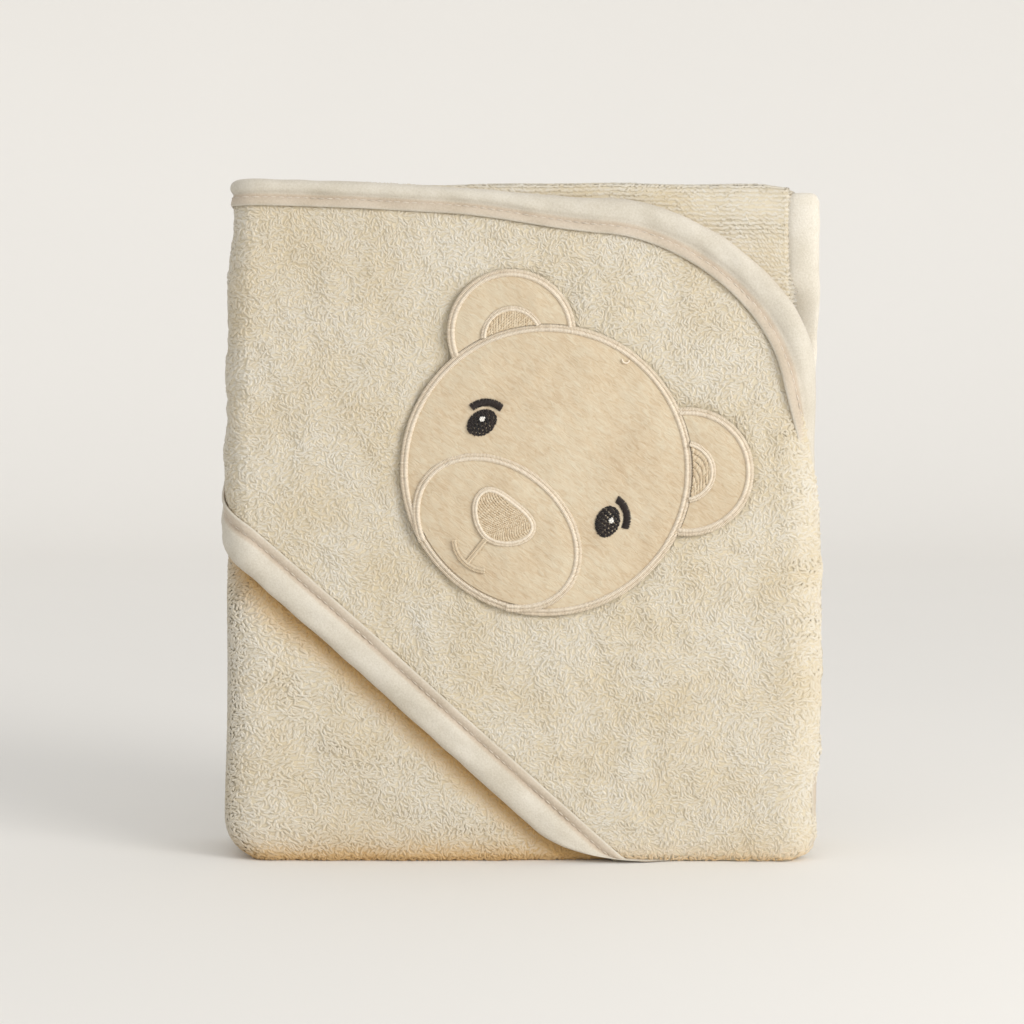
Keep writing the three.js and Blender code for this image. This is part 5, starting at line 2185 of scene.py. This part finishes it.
    def muzzle_pieces(self) -> None:
        """Makes the muzzle's patch and its border."""
        room = self.face.head - self.face.border - 0.2
        width, height = self.muzzle
        cut = (size - self.face.border + self.patch_overlap for size in self.muzzle)
        outer = oval(*cut, 0, self.muzzle_b, count=181)[:-1]
        reach = np.hypot(outer[:, 0], outer[:, 1])
        outer = outer * np.minimum(1, room / reach)[:, None]
        Patch("muzzle_velour", "muzzle_patch", outer, self.second - 0.35, 0.5, 0.75, Slot.VELOUR,
              seed=5).build(self.face, self.wardrobe, "head_velour")
        half = self.face.border / 2
        line = oval(width - half, height - half, 0, self.muzzle_b, count=721)
        line = np.roll(line[:-1], 180, 0)
        line = line[np.hypot(line[:, 0], line[:, 1]) < self.face.head - 1.3]
        thread = Thread(seed=51)
        self.sew(thread, "muzzle_satin", "muzzle_border", Slot.SATIN,
                 *thread.border(line, self.face.border, self.second - 0.4, 1.6))

    def nose_outline(self, inset: float) -> np.ndarray:
        """Draws the nose.

        Args:
            inset: how far inside its edge.

        Returns:
            The outline, from its tip round to it again.
        """
        half = self.nose_half - inset
        top, tip = self.nose_top - inset, self.nose_tip + inset * 1.3
        shoulder = top - 6 + inset * 0.4

        def curve(p: tuple, q: tuple, r: tuple, e: tuple) -> np.ndarray:
            """Samples one curve between two points with two handles."""
            u = np.linspace(0, 1, 18)[:-1, None]
            p, q, r, e = (np.array(v, float) for v in (p, q, r, e))
            return p * (1 - u) ** 3 + 3 * q * u * (1 - u) ** 2 + 3 * r * u**2 * (1 - u) + e * u**3

        x = self.nose_x
        return np.vstack([
            curve((x, tip), (x + half * 0.45, tip), (x + half, shoulder - 5), (x + half, shoulder)),
            curve((x + half, shoulder), (x + half, top), (x + half * 0.45, top), (x, top)),
            curve((x, top), (x - half * 0.45, top), (x - half, top), (x - half, shoulder)),
            curve((x - half, shoulder), (x - half, shoulder - 5), (x - half * 0.45, tip), (x, tip)),
        ])

    def nose_pieces(self) -> None:
        """Makes the nose, the line under it and the mouth."""
        level = self.third - 0.05
        fill = Thread(pitch=0.46, half_width=0.36, wobble=0.5, seed=61)
        outline = self.nose_outline(self.nose_border * 0.75)
        self.sew(fill, "nose_threads", "nose_fill", Slot.TAUPE,
                 fill.filling(outline, math.radians(62), 0.95, level + 0.1, 0.55))
        line = self.nose_outline(self.nose_border / 2)
        thread = Thread(pitch=0.45, half_width=0.3, seed=62)
        self.sew(thread, "nose_satin", "nose_border", Slot.SATIN,
                 *thread.border(np.vstack([line, line[:1]]), self.nose_border + 0.5, level, 0.95))
        top = self.nose_tip - self.clear
        mouth_b = top - self.philtrum + self.mouth
        end = mouth_b - self.mouth + 0.5
        line = np.array([[self.nose_x, top + 0.6], [self.nose_x, end]])
        thread = Thread(pitch=0.5, half_width=0.3, seed=63)
        self.sew(thread, "philtrum_satin", "philtrum_stitch", Slot.TAUPE,
                 *thread.border(line, self.mouth_width, level, 0.7))
        line = circle(self.mouth, self.nose_x, mouth_b, self.mouth_from, self.mouth_to, 60)
        self.sew(thread, "mouth_satin", "mouth_stitch", Slot.TAUPE,
                 *thread.border(line, self.mouth_width, level, 0.75))

    def eye_pieces(self, side: int, name: str) -> None:
        """Makes an eye, its brow and its highlight.

        Args:
            side: -1 for the left, 1 for the right.
            name: the side's name.
        """
        a, b = side * self.eye[0], self.eye[1]
        level = self.second - 0.1
        outline = oval(*self.eye_size, a, b, side * self.eye_lean, 61)[:-1]
        fill = Thread(pitch=0.52, half_width=0.34, seed=70 + side)
        self.sew(fill, f"{name}_eye_threads", f"{name}_eye", Slot.DARK,
                 fill.filling(outline, math.radians(20 * side), 4.2, level, 0.9))
        start, end = self.brow_from, self.brow_to
        if side > 0:
            start, end = math.pi - end, math.pi - start
        inward, up = self.brow_shift
        line = circle(self.brow_radius, a - side * inward, b + up, start, end, 60)
        thread = Thread(pitch=0.5, half_width=0.34, seed=80 + side)
        self.sew(thread, f"{name}_brow_satin", f"{name}_brow", Slot.DARK,
                 thread.across(line, self.brow_width, level, 0.95))
        out, up = self.shine_shift
        outline = circle(1.0, a + side * out, b + up, count=25)[:-1]
        shine = Thread(pitch=0.55, half_width=0.32, seed=90 + side)
        self.sew(shine, f"{name}_eye_shine", f"{name}_eye_highlight", Slot.WHITE,
                 shine.filling(outline, math.radians(20 * side), 3.0, level + 0.75, 0.5))


# ---------- studio ----------


@dataclass
class Studio:
    """Pale seamless backdrop, soft light from the upper right and the camera."""

    lens: float = 85.0
    reach: float = 0.9
    elevation: float = math.radians(2.6)
    aim: tuple[float, float] = (-0.0034, 0.1318)

    def build(self, front: float) -> None:
        """Makes the studio.

        Args:
            front: where the bundle's front face is.
        """
        self.backdrop()
        self.lights()
        self.camera(front)
        LOG.info("studio")

    def backdrop(self) -> None:
        """Makes the floor and the wall, one sheet with a wide bend."""
        bpy.ops.object.select_all(action="DESELECT")
        bpy.ops.mesh.primitive_plane_add(size=1, location=(0, 0, 0))
        sweep = bpy.context.active_object
        sweep.name = "backdrop"
        bpy.ops.object.mode_set(mode="EDIT")
        bpy.ops.transform.resize(value=(9, 4.6, 1), center_override=(0, 0, 0))
        bpy.ops.transform.translate(value=(0, -0.5, 0))
        bpy.ops.object.mode_set(mode="OBJECT")
        for edge in sweep.data.edges:
            edge.select = all(sweep.data.vertices[i].co.y > 1 for i in edge.vertices)
        for corner in sweep.data.vertices:
            corner.select = corner.co.y > 1
        for face in sweep.data.polygons:
            face.select = False
        bpy.ops.object.mode_set(mode="EDIT")
        steps, radius = 14, 0.9
        for k in range(steps):
            angle = (k + 0.5) / steps * math.pi / 2
            step = radius * math.pi / 2 / steps
            bpy.ops.mesh.extrude_region_move(
                TRANSFORM_OT_translate={"value": (0, step * math.cos(angle), step * math.sin(angle))})
        bpy.ops.mesh.extrude_region_move(TRANSFORM_OT_translate={"value": (0, 0, 3.5)})
        bpy.ops.mesh.select_all(action="SELECT")
        bpy.ops.mesh.normals_make_consistent(inside=False)
        bpy.ops.object.mode_set(mode="OBJECT")
        sweep.data.transform(sweep.matrix_world)
        sweep.matrix_world.identity()
        bpy.ops.object.shade_smooth()
        sweep.data.materials.append(BackdropFinish().build())

    def lights(self) -> None:
        """Makes the lights and the pale room."""
        sun = bpy.data.lights.new("key", "SUN")
        sun.energy = 1.02
        sun.angle = math.radians(26)
        sun.color = (1.0, 0.975, 0.94)
        self._hang(sun, (1.0, -0.95, 0.62))
        for name, size, energy, place in (
            ("side", 0.4, 2.3, (0.72, -0.52, 0.36)),
            ("front", 0.9, 1.7, (0.25, -1.35, 0.3)),
        ):
            lamp = bpy.data.lights.new(name, "AREA")
            lamp.shape = "DISK"
            lamp.size = size
            lamp.energy = energy
            lamp.color = (1.0, 0.99, 0.97)
            self._hang(lamp, place)
        world = bpy.data.worlds.new("room")
        world.use_nodes = True
        air = world.node_tree.nodes["Background"]
        air.inputs["Color"].default_value = (0.98, 0.99, 1.0, 1)
        air.inputs["Strength"].default_value = 0.745
        bpy.context.scene.world = world
        bpy.context.scene.view_settings.view_transform = "Standard"

    @staticmethod
    def _hang(lamp: bpy.types.Light, place: tuple[float, float, float]) -> None:
        """Hangs a lamp and points it at the bundle.

        Args:
            lamp: the lamp.
            place: where it hangs.
        """
        held = bpy.data.objects.new(lamp.name, lamp)
        bpy.context.scene.collection.objects.link(held)
        held.location = place
        held.rotation_euler = (Vector((0, 0, 0.12)) - Vector(place)).to_track_quat("-Z", "Y").to_euler()

    def camera(self, front: float) -> None:
        """Sets the camera up.

        Args:
            front: where the bundle's front face is.
        """
        lens = bpy.data.cameras.new("camera")
        lens.lens = self.lens
        lens.sensor_width = 36
        held = bpy.data.objects.new("camera", lens)
        bpy.context.scene.collection.objects.link(held)
        x, z = self.aim
        aim = Vector((x, front, z))
        back = Vector((0, -math.cos(self.elevation), math.sin(self.elevation)))
        held.location = aim + back * self.reach
        held.rotation_euler = (-back).to_track_quat("-Z", "Y").to_euler()
        bpy.context.scene.camera = held


def main() -> None:
    """Builds the studio, the towel, its bindings and its bear in order."""
    logging.basicConfig(level=logging.INFO, format="%(message)s")
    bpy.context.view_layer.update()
    wardrobe = Wardrobe()
    bundle = Bundle()
    face = Face(bundle)
    Studio().build(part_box("head_border")[0].y)
    TowelSheet(bundle, wardrobe).build()
    HoodSheet(bundle, wardrobe, face).build()
    EdgeBinding(bundle, wardrobe).build()
    HoodBinding(bundle, wardrobe).build()
    Bear(face, wardrobe).build()
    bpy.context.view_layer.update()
    total = sum(len(piece.data.polygons) for piece in bpy.context.scene.objects if piece.type == "MESH")
    LOG.info("%d faces", total)


if __name__ == "__main__":
    main()
